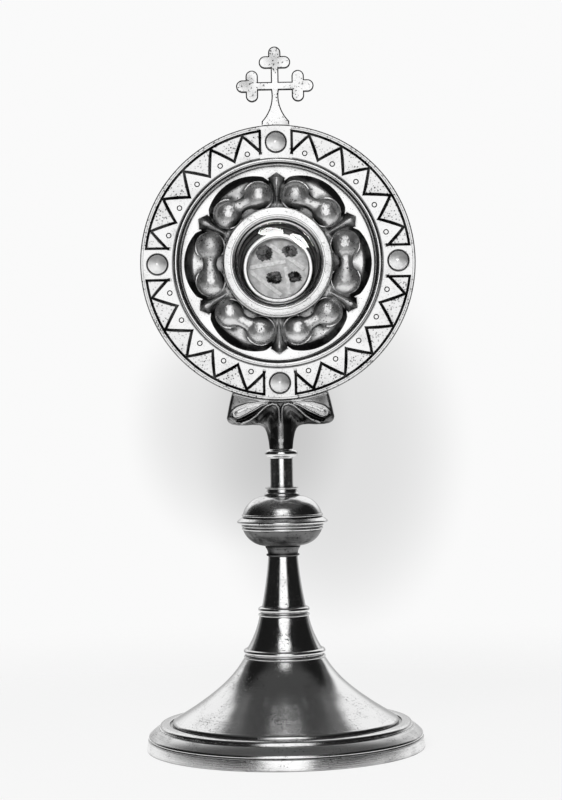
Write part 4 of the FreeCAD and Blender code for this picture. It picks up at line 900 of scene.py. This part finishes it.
# Darker where other parts stand close over the plate, from ambient occlusion.
crowded_dark = plate.add(
    "ShaderNodeAmbientOcclusion", {"Distance": 0.0012}, output="AO", samples=6,
).ramp(0.4, 0.95, 1, 0)
stained = cloud.ramp(0.48, 0.72) * 0.10 + speck.ramp(0.36, 0.28) * cloud.ramp(0.4, 0.6) * 0.6
cut = cut.math("MAXIMUM", cut, line)
cut = cut * cloud.ramp(0.35, 0.6, 0.76, 0.95) * uncrowded
dark = cut + (rim + fine + crowded_dark * 0.3) * (1 - below_cross)
dark = dark + stipple * 0.5 + stained + outer_field * 0.05
dark = plate.math("MINIMUM", dark, 1.0)
relief = cloud * 0.3 - stipple * 0.35 + speck * 0.12
bumped = plate.add("ShaderNodeBump", {"Strength": 0.3, "Distance": 0.0001, "Height": relief})
shine = plate.add(
    "ShaderNodeBsdfPrincipled",
    {
        "Base Color": dark.grey(0.80, 0.010),
        "Metallic": 1.0,
        "Roughness": 0.2 + dark * 0.5,
        "Normal": bumped,
    },
)
plate.add("ShaderNodeOutputMaterial", {"Surface": shine})


def dress(node, material):
    """Gives a CAD piece its finish."""
    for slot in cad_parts[node].material_slots:
        slot.material = material


dress("face_plate", engraved)


# --------------------------------------------------
# Bracket: a cast double leaf on a short socket.  Two ribs climb from the socket, part under the
# plate and run out along the leaves, with cups below them and long hollows above.
# --------------------------------------------------

bracket_base = base_of("leaf_bracket")
plate_radius = (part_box("face_plate")[1][2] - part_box("face_plate")[0][2]) / 2 / MM
saddle_centre = (head_level - bracket_base) / MM
LEAF_TOP = 20.5
LEAF_REACH = 23.05
LEAF_COLUMNS = [(0, 0), (0.25, 4.6), (0.5, 7.6), (1, LEAF_REACH)]
LEAF_UNDERSIDE = [
    (0, 0), (4.98, 0), (5.2, 2.5), (5.6, 4.8), (6.1, 7.0), (6.8, 8.6), (7.8, 9.6), (9.2, 10.1),
    (12, 10.3), (15, 10.1), (18.5, 10.2), (20.8, 10.6), (22.2, 11.4), (22.9, 12.5), (LEAF_REACH, 13.4),
]
RIB = [
    (0.62, 3.2), (0.6, 15.4), (0.75, 17.5), (1.7, 18.9), (3.6, 19.3), (5.8, 18.5), (8.2, 16.5),
    (10.7, 14.1), (13.2, 12.4), (16.5, 11.2),
]
RIB_TOP = [(2.5, 4.6), (5, 5.2), (12, 5.2), (15.5, 4.7), (19.5, 4.1)]
LONG_EDGE = [(5.4, 19.4), (8.2, 18.3), (11, 16.7), (14, 15.1), (17, 13.6), (19.6, 12.9), (21, 13.9)]
TOP_EDGE = [(5.4, 19.4), (9, 20.0), (14, 19.5), (18.6, 18.0), (21.2, 15.8), (21.0, 13.9)]
CUP = [(2.3, 9.5), (2.5, 15.4), (4.2, 17.0), (6.6, 15.4), (9.2, 12.9)]
CHANNEL = [(7.6, 17.6), (11, 15.4), (15, 13.1), (18.2, 12.1)]


def leaf_bounds(x):
    """The bracket's lowest and highest level at a distance from its middle."""
    low = between(x, LEAF_UNDERSIDE)
    if x < LEAF_TOP:
        return low, saddle_centre - math.sqrt((plate_radius + 0.05) ** 2 - x * x)
    high = saddle_centre - math.sqrt((plate_radius + 0.05) ** 2 - LEAF_TOP ** 2)
    slope = (x - LEAF_TOP) / (LEAF_REACH - LEAF_TOP)
    return low, high + (13.5 - high) * slope ** 1.25


def path_distance(x, level, path):
    """How far a point lies from a line of points."""
    nearest = 1e9
    for (x0, z0), (x1, z1) in zip(path, path[1:]):
        dx, dz = x1 - x0, z1 - z0
        along = min(1.0, max(0.0, ((x - x0) * dx + (level - z0) * dz) / (dx * dx + dz * dz)))
        nearest = min(nearest, math.hypot(x - x0 - dx * along, level - z0 - dz * along))
    return nearest


def ridge(distance, width):
    return math.exp(-((distance / width) ** 2))


leaf_side = [(x / 10, leaf_bounds(x / 10)[0]) for x in range(0, 231, 3)]
leaf_side += [(x / 10, leaf_bounds(x / 10)[1]) for x in range(230, 204, -3)]


def leaf_depth(x, level):
    """Half the casting's thickness, with its ribs and hollows."""
    x = abs(x)
    edge = path_distance(x, level, leaf_side)
    high = leaf_bounds(x)[1]
    rounded = math.sqrt(1 - (1 - min(1.0, edge / 1.5)) ** 2)
    depth = 0.25 + 2.55 * rounded
    relief = 0.0
    relief += 0.7 * ridge(path_distance(x, level, LONG_EDGE), 0.38)
    relief += 0.5 * ridge(path_distance(x, level, LENS), 1.3)
    relief += 0.6 * ridge(path_distance(x, level, TOP_EDGE), 0.42)
    relief += 0.8 * ridge(high - level - 0.35, 0.5)
    relief -= 1.6 * ridge(path_distance(x, level, CUP), 1.75)
    relief -= 1.0 * ridge(path_distance(x, level, CHANNEL), 0.55)
    lumps = noise.noise(Vector((x * 0.9, level * 0.9, 3)))
    relief += 0.4 * lumps * share(x, 7, 11) * share(level, 15 - x * 0.15, 11)
    depth += relief * share(edge, 0.1, 1.2)
    if x < 5.3:
        socket = math.sqrt(max(0.0, 5.25 ** 2 - x * x)) * 0.96
        depth += (max(depth, socket) - depth) * share(level, 16.5, 10)
    off = path_distance(x, level, RIB)
    if off < 0.75:
        crest = between(level, RIB_TOP) - 0.9 * share(x, 2, 14)
        depth = max(depth, crest - 1.1 * (off / 0.55) ** 2)
    return min(depth, 5.2)


LENS = [(7.0, 19.4), (10.5, 18.6), (14.5, 17.4), (18.0, 15.8)]


def leaf_shade_and_highlight(x, level):
    """Painted shade and highlight on the bracket: a highlight along the long hollow of a leaf, on the
    rib, near the top edge and down the middle of the socket, and shade in the cups, along the long edge
    and low by the socket, over a general darkening.
    """
    x = abs(x)
    high = leaf_bounds(x)[1]
    painted_highlight = share(path_distance(x, level, LENS), 2.9, 1.9)
    painted_highlight = max(painted_highlight, share(path_distance(x, level, RIB), 0.8, 0.2) * 0.8)
    painted_highlight = max(painted_highlight, share(high - level, 1.5, 0.6) * 0.7 * share(x, 3, 6))
    if level < 15:
        painted_highlight = max(painted_highlight, 0.6 * share(x, 1.3, 0.3))
    black = 0.66 + 0.26 * share(x, 7.5, 6.0) * share(level, 18, 15)
    black = max(black, 0.9 * share(path_distance(x, level, CUP), 2.0, 1.0))
    black = max(black, 0.95 * share(path_distance(x, level, LONG_EDGE), 0.9, 0.35))
    return black * (1 - painted_highlight)


leaves = bmesh.new()
# The mesh carries the painted shade and highlight as an attribute.
shade_layer = leaves.verts.layers.float.new("shade_and_highlight")
bmesh.ops.create_grid(leaves, x_segments=200, y_segments=84, size=1)
for vert in leaves.verts:
    x = math.copysign(between(abs(vert.co.x), LEAF_COLUMNS), vert.co.x)
    low, high = leaf_bounds(abs(x))
    level = low + (high - low) * (vert.co.y + 1) / 2
    vert.co = (x * MM, -leaf_depth(x, level) * MM, bracket_base + level * MM)
    vert[shade_layer] = leaf_shade_and_highlight(x, level)
front_edge = [line for line in leaves.edges if line.is_boundary]
behind_leaf = bmesh.ops.duplicate(leaves, geom=leaves.verts[:] + leaves.edges[:] + leaves.faces[:])
for vert in behind_leaf["geom"]:
    if isinstance(vert, bmesh.types.BMVert):
        vert.co.y = -vert.co.y
back_edge = [line for line in leaves.edges if line.is_boundary and line not in set(front_edge)]
bmesh.ops.bridge_loops(leaves, edges=front_edge + back_edge)
tongue = bmesh.ops.create_cube(leaves, size=1)["verts"]
tongue_low, tongue_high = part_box("leaf_bracket")[0][2] + 17.5 * MM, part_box("leaf_bracket")[1][2]
tongue_place = Matrix.Translation((0, 2.2 * MM, (tongue_low + tongue_high) / 2))
tongue_size = Matrix.Diagonal((10 * MM, 2 * MM, tongue_high - tongue_low, 1))
bmesh.ops.transform(leaves, matrix=tongue_place @ tongue_size, verts=tongue)
tongue_edges = {line for vert in tongue for line in vert.link_edges}
bmesh.ops.bevel(
    leaves, geom=list(tongue_edges), offset=0.3 * MM, segments=2, profile=0.5, affect="EDGES",
    material=-1,
)
bmesh.ops.recalc_face_normals(leaves, faces=leaves.faces)
# The bracket's silver takes painted shade on faces turned edge-on to the front, and painted shade and
# highlights from its attribute.
bracket_silver = silver(
    "bracket_silver", 0.18, lines=0.0, pits=0.9, mottle=1.0, tarnish=0.8, satin=0.3,
    slope_shade=(0.97, 0.62, 0.15), stained=True,
)
make(
    "double_leaf", leaves, "monstrance", bracket_silver, ["leaf_bracket"],
    weighted=False,
)


# --------------------------------------------------
# Cross: sawn from plate with trefoil ends, bevelled at its edges above the face plate's rim, and
# soldered to a flared foot.  Its silver is worn and pitted.
# --------------------------------------------------

cross = bmesh.new()
cross.from_mesh(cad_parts["trefoil_cross"].data)
bmesh.ops.remove_doubles(cross, verts=cross.verts, dist=1e-6)
bmesh.ops.dissolve_limit(
    cross, angle_limit=math.radians(1), use_dissolve_boundaries=False, verts=cross.verts,
    edges=cross.edges,
)
for facing in (-1, 1):
    flat = [face for face in cross.faces if face.normal.y * facing > 0.99]
    bmesh.ops.inset_region(
        cross, faces=flat, thickness=0.5 * MM, depth=0, use_even_offset=True, use_boundary=True,
    )
    kept = {vert for face in flat for vert in face.verts}
    rim = {vert for face in cross.faces for vert in face.verts
           if face.normal.y * facing > 0.99} - kept
    rim = [vert for vert in rim if math.hypot(vert.co.x, vert.co.z - head_level) > 59.8 * MM]
    bmesh.ops.translate(cross, verts=rim, vec=(0, -0.42 * MM * facing, 0))
bmesh.ops.recalc_face_normals(cross, faces=cross.faces)
# Painted shade on the cross's bevels, which turn edge-on to the front, draws its dark outline.
cross_silver = silver(
    "cross_silver", 0.24, lines=0.0, pits=1.5, mottle=1.1, tarnish=0.3, tone=0.86,
    slope_shade=(0.985, 0.9, 0.93),
)
make(
    "cross", cross, "monstrance", cross_silver, ["trefoil_cross"],
    weighted=False,
).data.shade_flat()


# --------------------------------------------------
# Stones: four milky cabochons in thin cups, over a white foil in the bottom of each cup.
# Painted light brightens the lower half of each stone, as if light gathered there, and painted
# shade darkens its rim.
# --------------------------------------------------

STONE_CIRCLE = 51.6
SIDES = {"right": (1, 0), "top": (0, 1), "left": (-1, 0), "bottom": (0, -1)}

milk, stone = blank_finish("milky_stone")
place = stone.add("ShaderNodeTexCoord", output="Object")
veil = stone.add("ShaderNodeTexNoise", {"Vector": place, "Scale": 260.0, "Detail": 4.0})
nx, ny, nz = stone.add("ShaderNodeNewGeometry", output="Normal").apart()
# Painted light: brighter where the normal faces down and to the left, standing for light gathered in
# the stone's lower half.
painted_glow = (nz * 0.9 + nx * 0.25 + veil * 0.3 - 0.15).ramp(0.35, -0.45, 0.27, 1)
# Painted shade: the stone's rim, turned edge-on to the front, is painted dark.
outline = (0 - ny).ramp(0.74, 0.66, 1, 0.05)
glow = stone.add(
    "ShaderNodeBsdfPrincipled",
    {
        "Base Color": (painted_glow * outline).grey(0.02, 0.98),
        "Roughness": 0.06,
        "IOR": 1.54,
        "Specular IOR Level": 0.7,
    },
)
stone.add("ShaderNodeOutputMaterial", {"Surface": glow})

foil_finish, foil = blank_finish("white_foil")
crease = foil.add(
    "ShaderNodeTexNoise",
    {"Vector": foil.add("ShaderNodeTexCoord", output="Object"), "Scale": 700.0, "Detail": 3.0},
)
bumped = foil.add("ShaderNodeBump", {"Strength": 0.3, "Distance": 0.0001, "Height": crease})
paint = foil.add(
    "ShaderNodeBsdfPrincipled",
    {"Base Color": crease.grey(0.8, 0.92), "Roughness": 0.33, "Metallic": 1.0, "Normal": bumped},
)
foil.add("ShaderNodeOutputMaterial", {"Surface": paint})

# The stone cups are darkened all over by a flat painted shade, for the shadowed gap round each stone.
shaded_cup_silver = silver("shaded_cup_silver", 0.3, lines=0.0, pits=0.2, mottle=0.3, tarnish=1.0, flat_shade=0.75)
for side, (right, above) in SIDES.items():
    node = f"stone_cup_{side}"
    stud_end = -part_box(node)[1][1] / MM
    cup_profile = [
        (0, stud_end),
        (0.9, stud_end),
        (0.9, -0.1),
        (4.7, -0.1),
        (4.7, 1.35),
        *arc((4.7, 1.35), (4.55, 1.5), (4.4, 1.35), 4),
        (4.4, 1.35),
        (4.4, 0.4),
        (0, 0.4),
    ]
    stone_profile = [
        (0, 0.46),
        (4.2, 0.46),
        (4.33, 0.6),
        (4.34, 1.3),
        *arc((4.34, 1.35), (2.55, 2.75), (0, 3.5), 20)[1:],
        (0, 3.5),
    ]
    for name, profile, slot, material, replaced in (
        (f"cup_{side}", cup_profile, "silvered_turning", shaded_cup_silver, [node]),
        (f"stone_{side}", stone_profile, "milky_stone", milk, [f"cabochon_{side}"]),
        (f"foil_{side}", [(0, 0.41), (4.3, 0.41), (4.3, 0.45), (0, 0.45)], "silvered_sheet",
         foil_finish, []),
    ):
        shape = turned(profile, 64, 0.0)
        bmesh.ops.translate(
            shape, verts=shape.verts, vec=(STONE_CIRCLE * right * MM, STONE_CIRCLE * above * MM, 0),
        )
        piece = make(name, to_head(shape), "monstrance", material, replaced)
        if slot == "milky_stone":
            spark.light_linking.receiver_collection.objects.link(piece)


# --------------------------------------------------
# Window: a domed glass, blown and cut round, held from behind by a spring ring.
# --------------------------------------------------

def clear_glass(name, strength):
    """Glass that lets light straight through and mirrors more of it at a slant."""
    material, glass = blank_finish(name)
    slant = glass.add("ShaderNodeLayerWeight", {"Blend": 0.5}, output="Facing")
    inner = glass.add("ShaderNodeNewGeometry", output="Backfacing")
    mirror = (strength + (1 - strength) * slant.math("POWER", slant, 4.5)) * (1 - inner)
    clear = glass.add("ShaderNodeBsdfTransparent")
    gloss = glass.add("ShaderNodeBsdfGlossy", {"Roughness": 0.0})
    mixed = glass.add("ShaderNodeMixShader", {0: mirror, 1: clear, 2: gloss})
    glass.add("ShaderNodeOutputMaterial", {"Surface": mixed})
    return material


glass_profile = [
    (18.2, -0.65),
    (18.2, 0.55),
    (17.2, 0.55),
    *arc((17.2, 0.55), (8.8, 2.79), (0, 3.55), 28),
    (0, 3.55),
    (0, 2.35),
    *arc((0, 2.35), (8.2, 1.62), (16.0, -0.65), 28)[1:],
    (16.0, -0.65),
]


def turned_shell(profile, steps):
    """A turned piece whose outline touches the axis in its middle."""
    shape = bmesh.new()
    corners = [shape.verts.new((radius * MM, 0, height * MM)) for radius, height in profile]
    after = corners[1:] + corners[:1]
    lines = [
        shape.edges.new((a, b)) for a, b in zip(corners, after) if a.co.x > 0 or b.co.x > 0
    ]
    bmesh.ops.spin(
        shape, geom=corners + lines, cent=(0, 0, 0), axis=(0, 0, 1), angle=math.tau,
        steps=steps, use_merge=True,
    )
    bmesh.ops.remove_doubles(shape, verts=shape.verts, dist=1e-7)
    bmesh.ops.recalc_face_normals(shape, faces=shape.faces)
    return shape


window_finish = clear_glass("window_glass", 0.018)
window = make(
    "domed_window", to_head(turned_shell(glass_profile, 160)), "monstrance",
    window_finish, ["window_glass"], weighted=False,
)
glassy.objects.link(window)


# --------------------------------------------------
# Housing and door: a tube soldered in the dish, closed behind by a flat lid with a plug, a thumb
# tab and a pinned hinge.
# --------------------------------------------------

# Painted shade darkens the faces of the door, capsule case and housing that look to the front, and the
# whole housing by a flat amount.
back_silver = silver(
    "back_silver", 0.22, facing=True, lines=0.4, pits=0.4, mottle=0.5, tarnish=0.6, inward_shade=0.85,
)
housing_silver = silver(
    "housing_silver", 0.25, facing=True, lines=0.3, pits=0.6, mottle=1.0, tarnish=0.8, flat_shade=0.62,
    inward_shade=0.3,
)
dress("relic_housing", housing_silver)
dress("glass_spring_ring", housing_silver)
for node in ("rear_door", "door_thumb_tab", "door_hinge_leaf", "housing_hinge_leaf"):
    dress(node, back_silver)


# --------------------------------------------------
# Relic capsule: a glazed brass case with a rolled rim.  A silk pad carries four fragments under
# thread and four bare paper strips, and the back is tied with silk and sealed with wax.
# --------------------------------------------------

capsule_level = (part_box("capsule_case")[0][2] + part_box("capsule_case")[1][2]) / 2
capsule_drop = head_level - capsule_level


def to_capsule(shape):
    to_head(shape)
    bmesh.ops.translate(shape, verts=shape.verts, vec=(0, 0, -capsule_drop))
    return shape


rim_profile = [
    (12.9, -3.4),
    (15.6, -3.4),
    *arc((15.6, -3.1), (14.9, -2.68), (14.0, -2.6), 7),
    *arc((14.0, -2.6), (13.3, -2.75), (12.9, -3.15), 7),
    (12.9, -3.15),
]
make(
    "capsule_rim_roll", to_capsule(turned(rim_profile, 144, 0.0)), "theca",
    ring_silver, ["capsule_rim"],
)
capsule_profile = [(0, -4.35), (14.7, -4.35), (14.75, -4.3), (14.75, -3.5), (14.7, -3.45), (0, -3.45)]
make(
    "capsule_crystal", to_capsule(turned(capsule_profile, 96, 0.0)), "theca",
    clear_glass("capsule_glass", 0.008), ["capsule_glass"], weighted=False,
)
dress("capsule_case", back_silver)
dress("capsule_back", back_silver)


def cloth(name, low, high, scale, rough, sheen):
    """A woven or felted cover: fine threads crossing, with soft cloudy wear."""
    material, weave = blank_finish(name)
    place = weave.add("ShaderNodeTexCoord", output="Object")
    x, y, z = place.apart()
    threads = (x * scale).math("SINE", x * scale) * (z * scale).math("SINE", z * scale)
    cloud = weave.add("ShaderNodeTexNoise", {"Vector": place, "Scale": 330.0, "Detail": 5.0})
    tone = cloud.ramp(0.3, 0.7) * 0.75 + threads * 0.12 + 0.12
    bumped = weave.add(
        "ShaderNodeBump", {"Strength": 0.5, "Distance": 0.00008, "Height": threads + cloud},
    )
    face = weave.add(
        "ShaderNodeBsdfPrincipled",
        {
            "Base Color": tone.grey(low, high), "Roughness": rough, "Sheen Weight": sheen,
            "Specular IOR Level": 0.15, "Normal": bumped,
        },
    )
    weave.add("ShaderNodeOutputMaterial", {"Surface": face})
    return material


pad_shape = turned(
    [
        (0, -6.95),
        (14.5, -6.95),
        *arc((14.6, -6.9), (14.7, -6.6), (14.5, -6.1), 6),
        *flow([(14.5, -6.1), (13.9, -5.75), (12.6, -5.56), (9, -5.48), (4, -5.45), (0.02, -5.44)], 6),
        (0, -5.44),
    ],
    144, 0.0,
)
for vert in pad_shape.verts:
    radius = vert.co.xy.length / MM
    angle = math.atan2(vert.co.y, vert.co.x)
    if vert.co.z > -6.2 * MM and radius > 1:
        pucker = math.sin(angle * 22 + 0.6 * math.sin(angle * 5)) * share(radius, 10.5, 14)
        soft = noise.noise(Vector((vert.co.x / MM * 0.35, vert.co.y / MM * 0.35, 7)))
        vert.co.z += (0.07 * pucker + 0.12 * soft * share(radius, 14.4, 12)) * MM
pad = make(
    "silk_pad", to_capsule(pad_shape), "theca",
    cloth("pad_silk", 0.38, 0.74, 9000, 0.7, 0.2), ["relic_pad"], weighted=False,
)

cotton_shape = turned(
    [
        (0, -11.55),
        *flow([(13.9, -11.5), (14.6, -10.9), (14.7, -9.2), (14.6, -7.6), (14.0, -7.05)], 5),
        (13.9, -7.0),
        (0, -7.0),
    ],
    96, 0.0,
)
for vert in cotton_shape.verts:
    tuft = noise.noise(vert.co / MM * 0.7)
    vert.co.xy *= 1 - 0.012 * (1 + tuft)
cotton = make(
    "cotton_wad", to_capsule(cotton_shape), "theca",
    cloth("cotton", 0.7, 0.88, 5000, 0.95, 0.5), ["packing_disc"], weighted=False,
)

RIM_INNER = 12.9
RELICS = ((130, 0.66, 1.2), (55, 0.70, 1.05), (247, 0.31, 1.1), (-28, 0.62, 0.95))
fragments = bmesh.new()
for count, (angle, part, scale) in enumerate(RELICS):
    centre = Vector((math.cos(math.radians(angle)), math.sin(math.radians(angle)), 0))
    lump = bmesh.ops.create_icosphere(fragments, subdivisions=5, radius=1)["verts"]
    for vert in lump:
        grain = noise.noise(vert.co * 1.6 + Vector((count * 7, 0, 0)))
        fine = noise.noise(vert.co * 5 + Vector((0, count * 5, 0)))
        crumb = noise.noise(vert.co * 12 + Vector((count * 3, 0, 0)))
        vert.co *= 1 + 0.30 * grain + 0.40 * fine + 0.34 * crumb
        vert.co.x *= 2.6 * scale
        vert.co.y *= 2.2 * scale
        vert.co.z = vert.co.z * 0.58 + 0.1
        vert.co.z = min(max(vert.co.z, -0.35), 0.8)
        vert.co = (vert.co + centre * part * RIM_INNER + Vector((0, 0, -5.45))) * MM
bone, relic = blank_finish("relic_bone")
place = relic.add("ShaderNodeTexCoord", output="Object")
patch = relic.add("ShaderNodeTexNoise", {"Vector": place, "Scale": 500.0, "Detail": 7.0})
pore = relic.add("ShaderNodeTexVoronoi", {"Vector": place, "Scale": 1800.0})
bumped = relic.add(
    "ShaderNodeBump", {"Strength": 0.8, "Distance": 0.00015, "Height": patch + pore * 0.5},
)
dry = relic.add(
    "ShaderNodeBsdfPrincipled",
    {
        "Base Color": patch.ramp(0.42, 0.62).grey(0.004, 0.15), "Roughness": 0.7,
        "Specular IOR Level": 0.15, "Normal": bumped,
    },
)
relic.add("ShaderNodeOutputMaterial", {"Surface": dry})
make(
    "fragments", to_capsule(fragments), "theca", bone, ["relic_fragments"],
    weighted=False,
)

LABELS = ((159, 0.37, 9, 1.22), (50, 0.49, -36, 1.42), (-52, 0.52, -82, 0.94), (231, 0.65, -38, 1.28))
strips = bmesh.new()
for count, (angle, part, turn, length) in enumerate(LABELS):
    before = set(strips.verts)
    bmesh.ops.create_grid(strips, x_segments=40, y_segments=6, size=0.5)
    strip = [vert for vert in strips.verts if vert not in before]
    for vert in strip:
        fray = 0.05 * noise.noise(Vector((vert.co.x * 40, count * 3, vert.co.y * 2)))
        lift = 0.10 * (abs(vert.co.x) * 2) ** 3
        vert.co.x *= RIM_INNER * length
        vert.co.y = vert.co.y * 1.7 + fray * (abs(vert.co.y) > 0.49)
        vert.co.z = 0.14 + lift + 0.02 * math.sin(vert.co.x * 1.7 + count)
    spot = Matrix.Rotation(math.radians(angle), 4, "Z") @ Vector((part * RIM_INNER, 0, -5.45))
    move = Matrix.Scale(MM, 4) @ Matrix.Translation(spot) @ Matrix.Rotation(math.radians(turn), 4, "Z")
    bmesh.ops.transform(strips, matrix=move, verts=strip)
bmesh.ops.solidify(strips, geom=strips.faces[:], thickness=0.05 * MM)
bmesh.ops.recalc_face_normals(strips, faces=strips.faces)
laid, rag = blank_finish("label_paper")
fibre = rag.add(
    "ShaderNodeTexNoise",
    {"Vector": rag.add("ShaderNodeTexCoord", output="Object"), "Scale": 900.0, "Detail": 6.0},
)
bumped = rag.add("ShaderNodeBump", {"Strength": 0.3, "Distance": 0.00005, "Height": fibre})
face = rag.add(
    "ShaderNodeBsdfPrincipled",
    {
        "Base Color": fibre.ramp(0.3, 0.7).grey(0.58, 0.78), "Roughness": 0.8,
        "Specular IOR Level": 0.15, "Normal": bumped,
    },
)
rag.add("ShaderNodeOutputMaterial", {"Surface": face})
make(
    "label_strips", to_capsule(strips), "theca", laid, ["blank_label_strips"],
    weighted=False,
)


def plain(name, low, high, roughness, coat=0.0, metallic=0.0, scale=400.0):
    """A one-colour finish with a little cloudiness and grain."""
    material, finish = blank_finish(name)
    place = finish.add("ShaderNodeTexCoord", output="Object")
    grain = finish.add("ShaderNodeTexNoise", {"Vector": place, "Scale": scale, "Detail": 5.0})
    tone = finish.add(
        "ShaderNodeMix", {0: grain.ramp(0.3, 0.7), 6: (*low, 1), 7: (*high, 1)}, output=2,
        data_type="RGBA",
    )
    bumped = finish.add("ShaderNodeBump", {"Strength": 0.3, "Distance": 0.0001, "Height": grain})
    face = finish.add(
        "ShaderNodeBsdfPrincipled",
        {
            "Base Color": tone, "Roughness": roughness + grain * 0.15, "Metallic": metallic,
            "Coat Weight": coat, "Normal": bumped,
        },
    )
    finish.add("ShaderNodeOutputMaterial", {"Surface": face})
    return material


silk = plain("silk_thread", (0.20, 0.02, 0.02), (0.34, 0.05, 0.04), 0.5, scale=3000.0)
threads = bmesh.new()
thread_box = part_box("seal_thread")
thread_back = -(thread_box[0][1] + thread_box[1][1]) / 2 / MM
for quarter in range(2):
    for strand in range(2):
        line = []
        for step in range(121):
            along = (step / 60 - 1) * 14.4
            twist = along * 2.6 + strand * math.pi
            line.append(threads.verts.new((
                along * MM,
                0.11 * math.cos(twist) * MM,
                (thread_back + 0.11 * math.sin(twist) * 0.9) * MM,
            )))
        if quarter:
            bmesh.ops.rotate(
                threads, verts=line, cent=(0, 0, 0), matrix=Matrix.Rotation(math.pi / 2, 3, "Z"),
            )
        for pair in zip(line, line[1:]):
            threads.edges.new(pair)
to_capsule(threads)
thread_piece = make(
    "tied_thread", threads, "theca", silk, ["seal_thread"], weighted=False,
)
thread_piece.modifiers.new("strand", "SKIN")
for layer in thread_piece.data.skin_vertices:
    for vert in layer.data:
        vert.radius = (0.13 * MM, 0.13 * MM)

wax_front = -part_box("wax_seal")[0][1] / MM
wax_back = -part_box("wax_seal")[1][1] / MM
wax_shape = turned(
    [
        (0, wax_back + 0.22),
        *flow([(2.4, wax_back + 0.2), (2.75, wax_back + 0.02), (3.3, wax_back), (3.75, wax_back + 0.3),
               (3.95, wax_front - 0.1)], 5),
        (3.9, wax_front),
        (0, wax_front),
    ],
    72, 0.0,
)
for vert in wax_shape.verts:
    angle = math.atan2(vert.co.y, vert.co.x)
    wobble = noise.noise(Vector((math.cos(angle) * 1.6, math.sin(angle) * 1.6, 2)))
    vert.co.xy *= 0.94 + 0.06 * wobble * share(vert.co.xy.length / MM, 2, 3.8)
make(
    "poured_wax", to_capsule(wax_shape), "theca",
    plain("sealing_wax", (0.22, 0.01, 0.008), (0.36, 0.02, 0.015), 0.3, coat=0.5), ["wax_seal"],
    weighted=False,
)


# --------------------------------------------------
# Rod and nuts: plain brass fastenings behind the plate, in the hinge and under the foot.
# --------------------------------------------------

brass = plain("plain_brass", (0.42, 0.27, 0.10), (0.60, 0.42, 0.18), 0.3, metallic=1.0)
for node in ("tie_rod", "tension_washer", "tie_nut", "stud_nuts", "hinge_pin"):
    dress(node, brass)
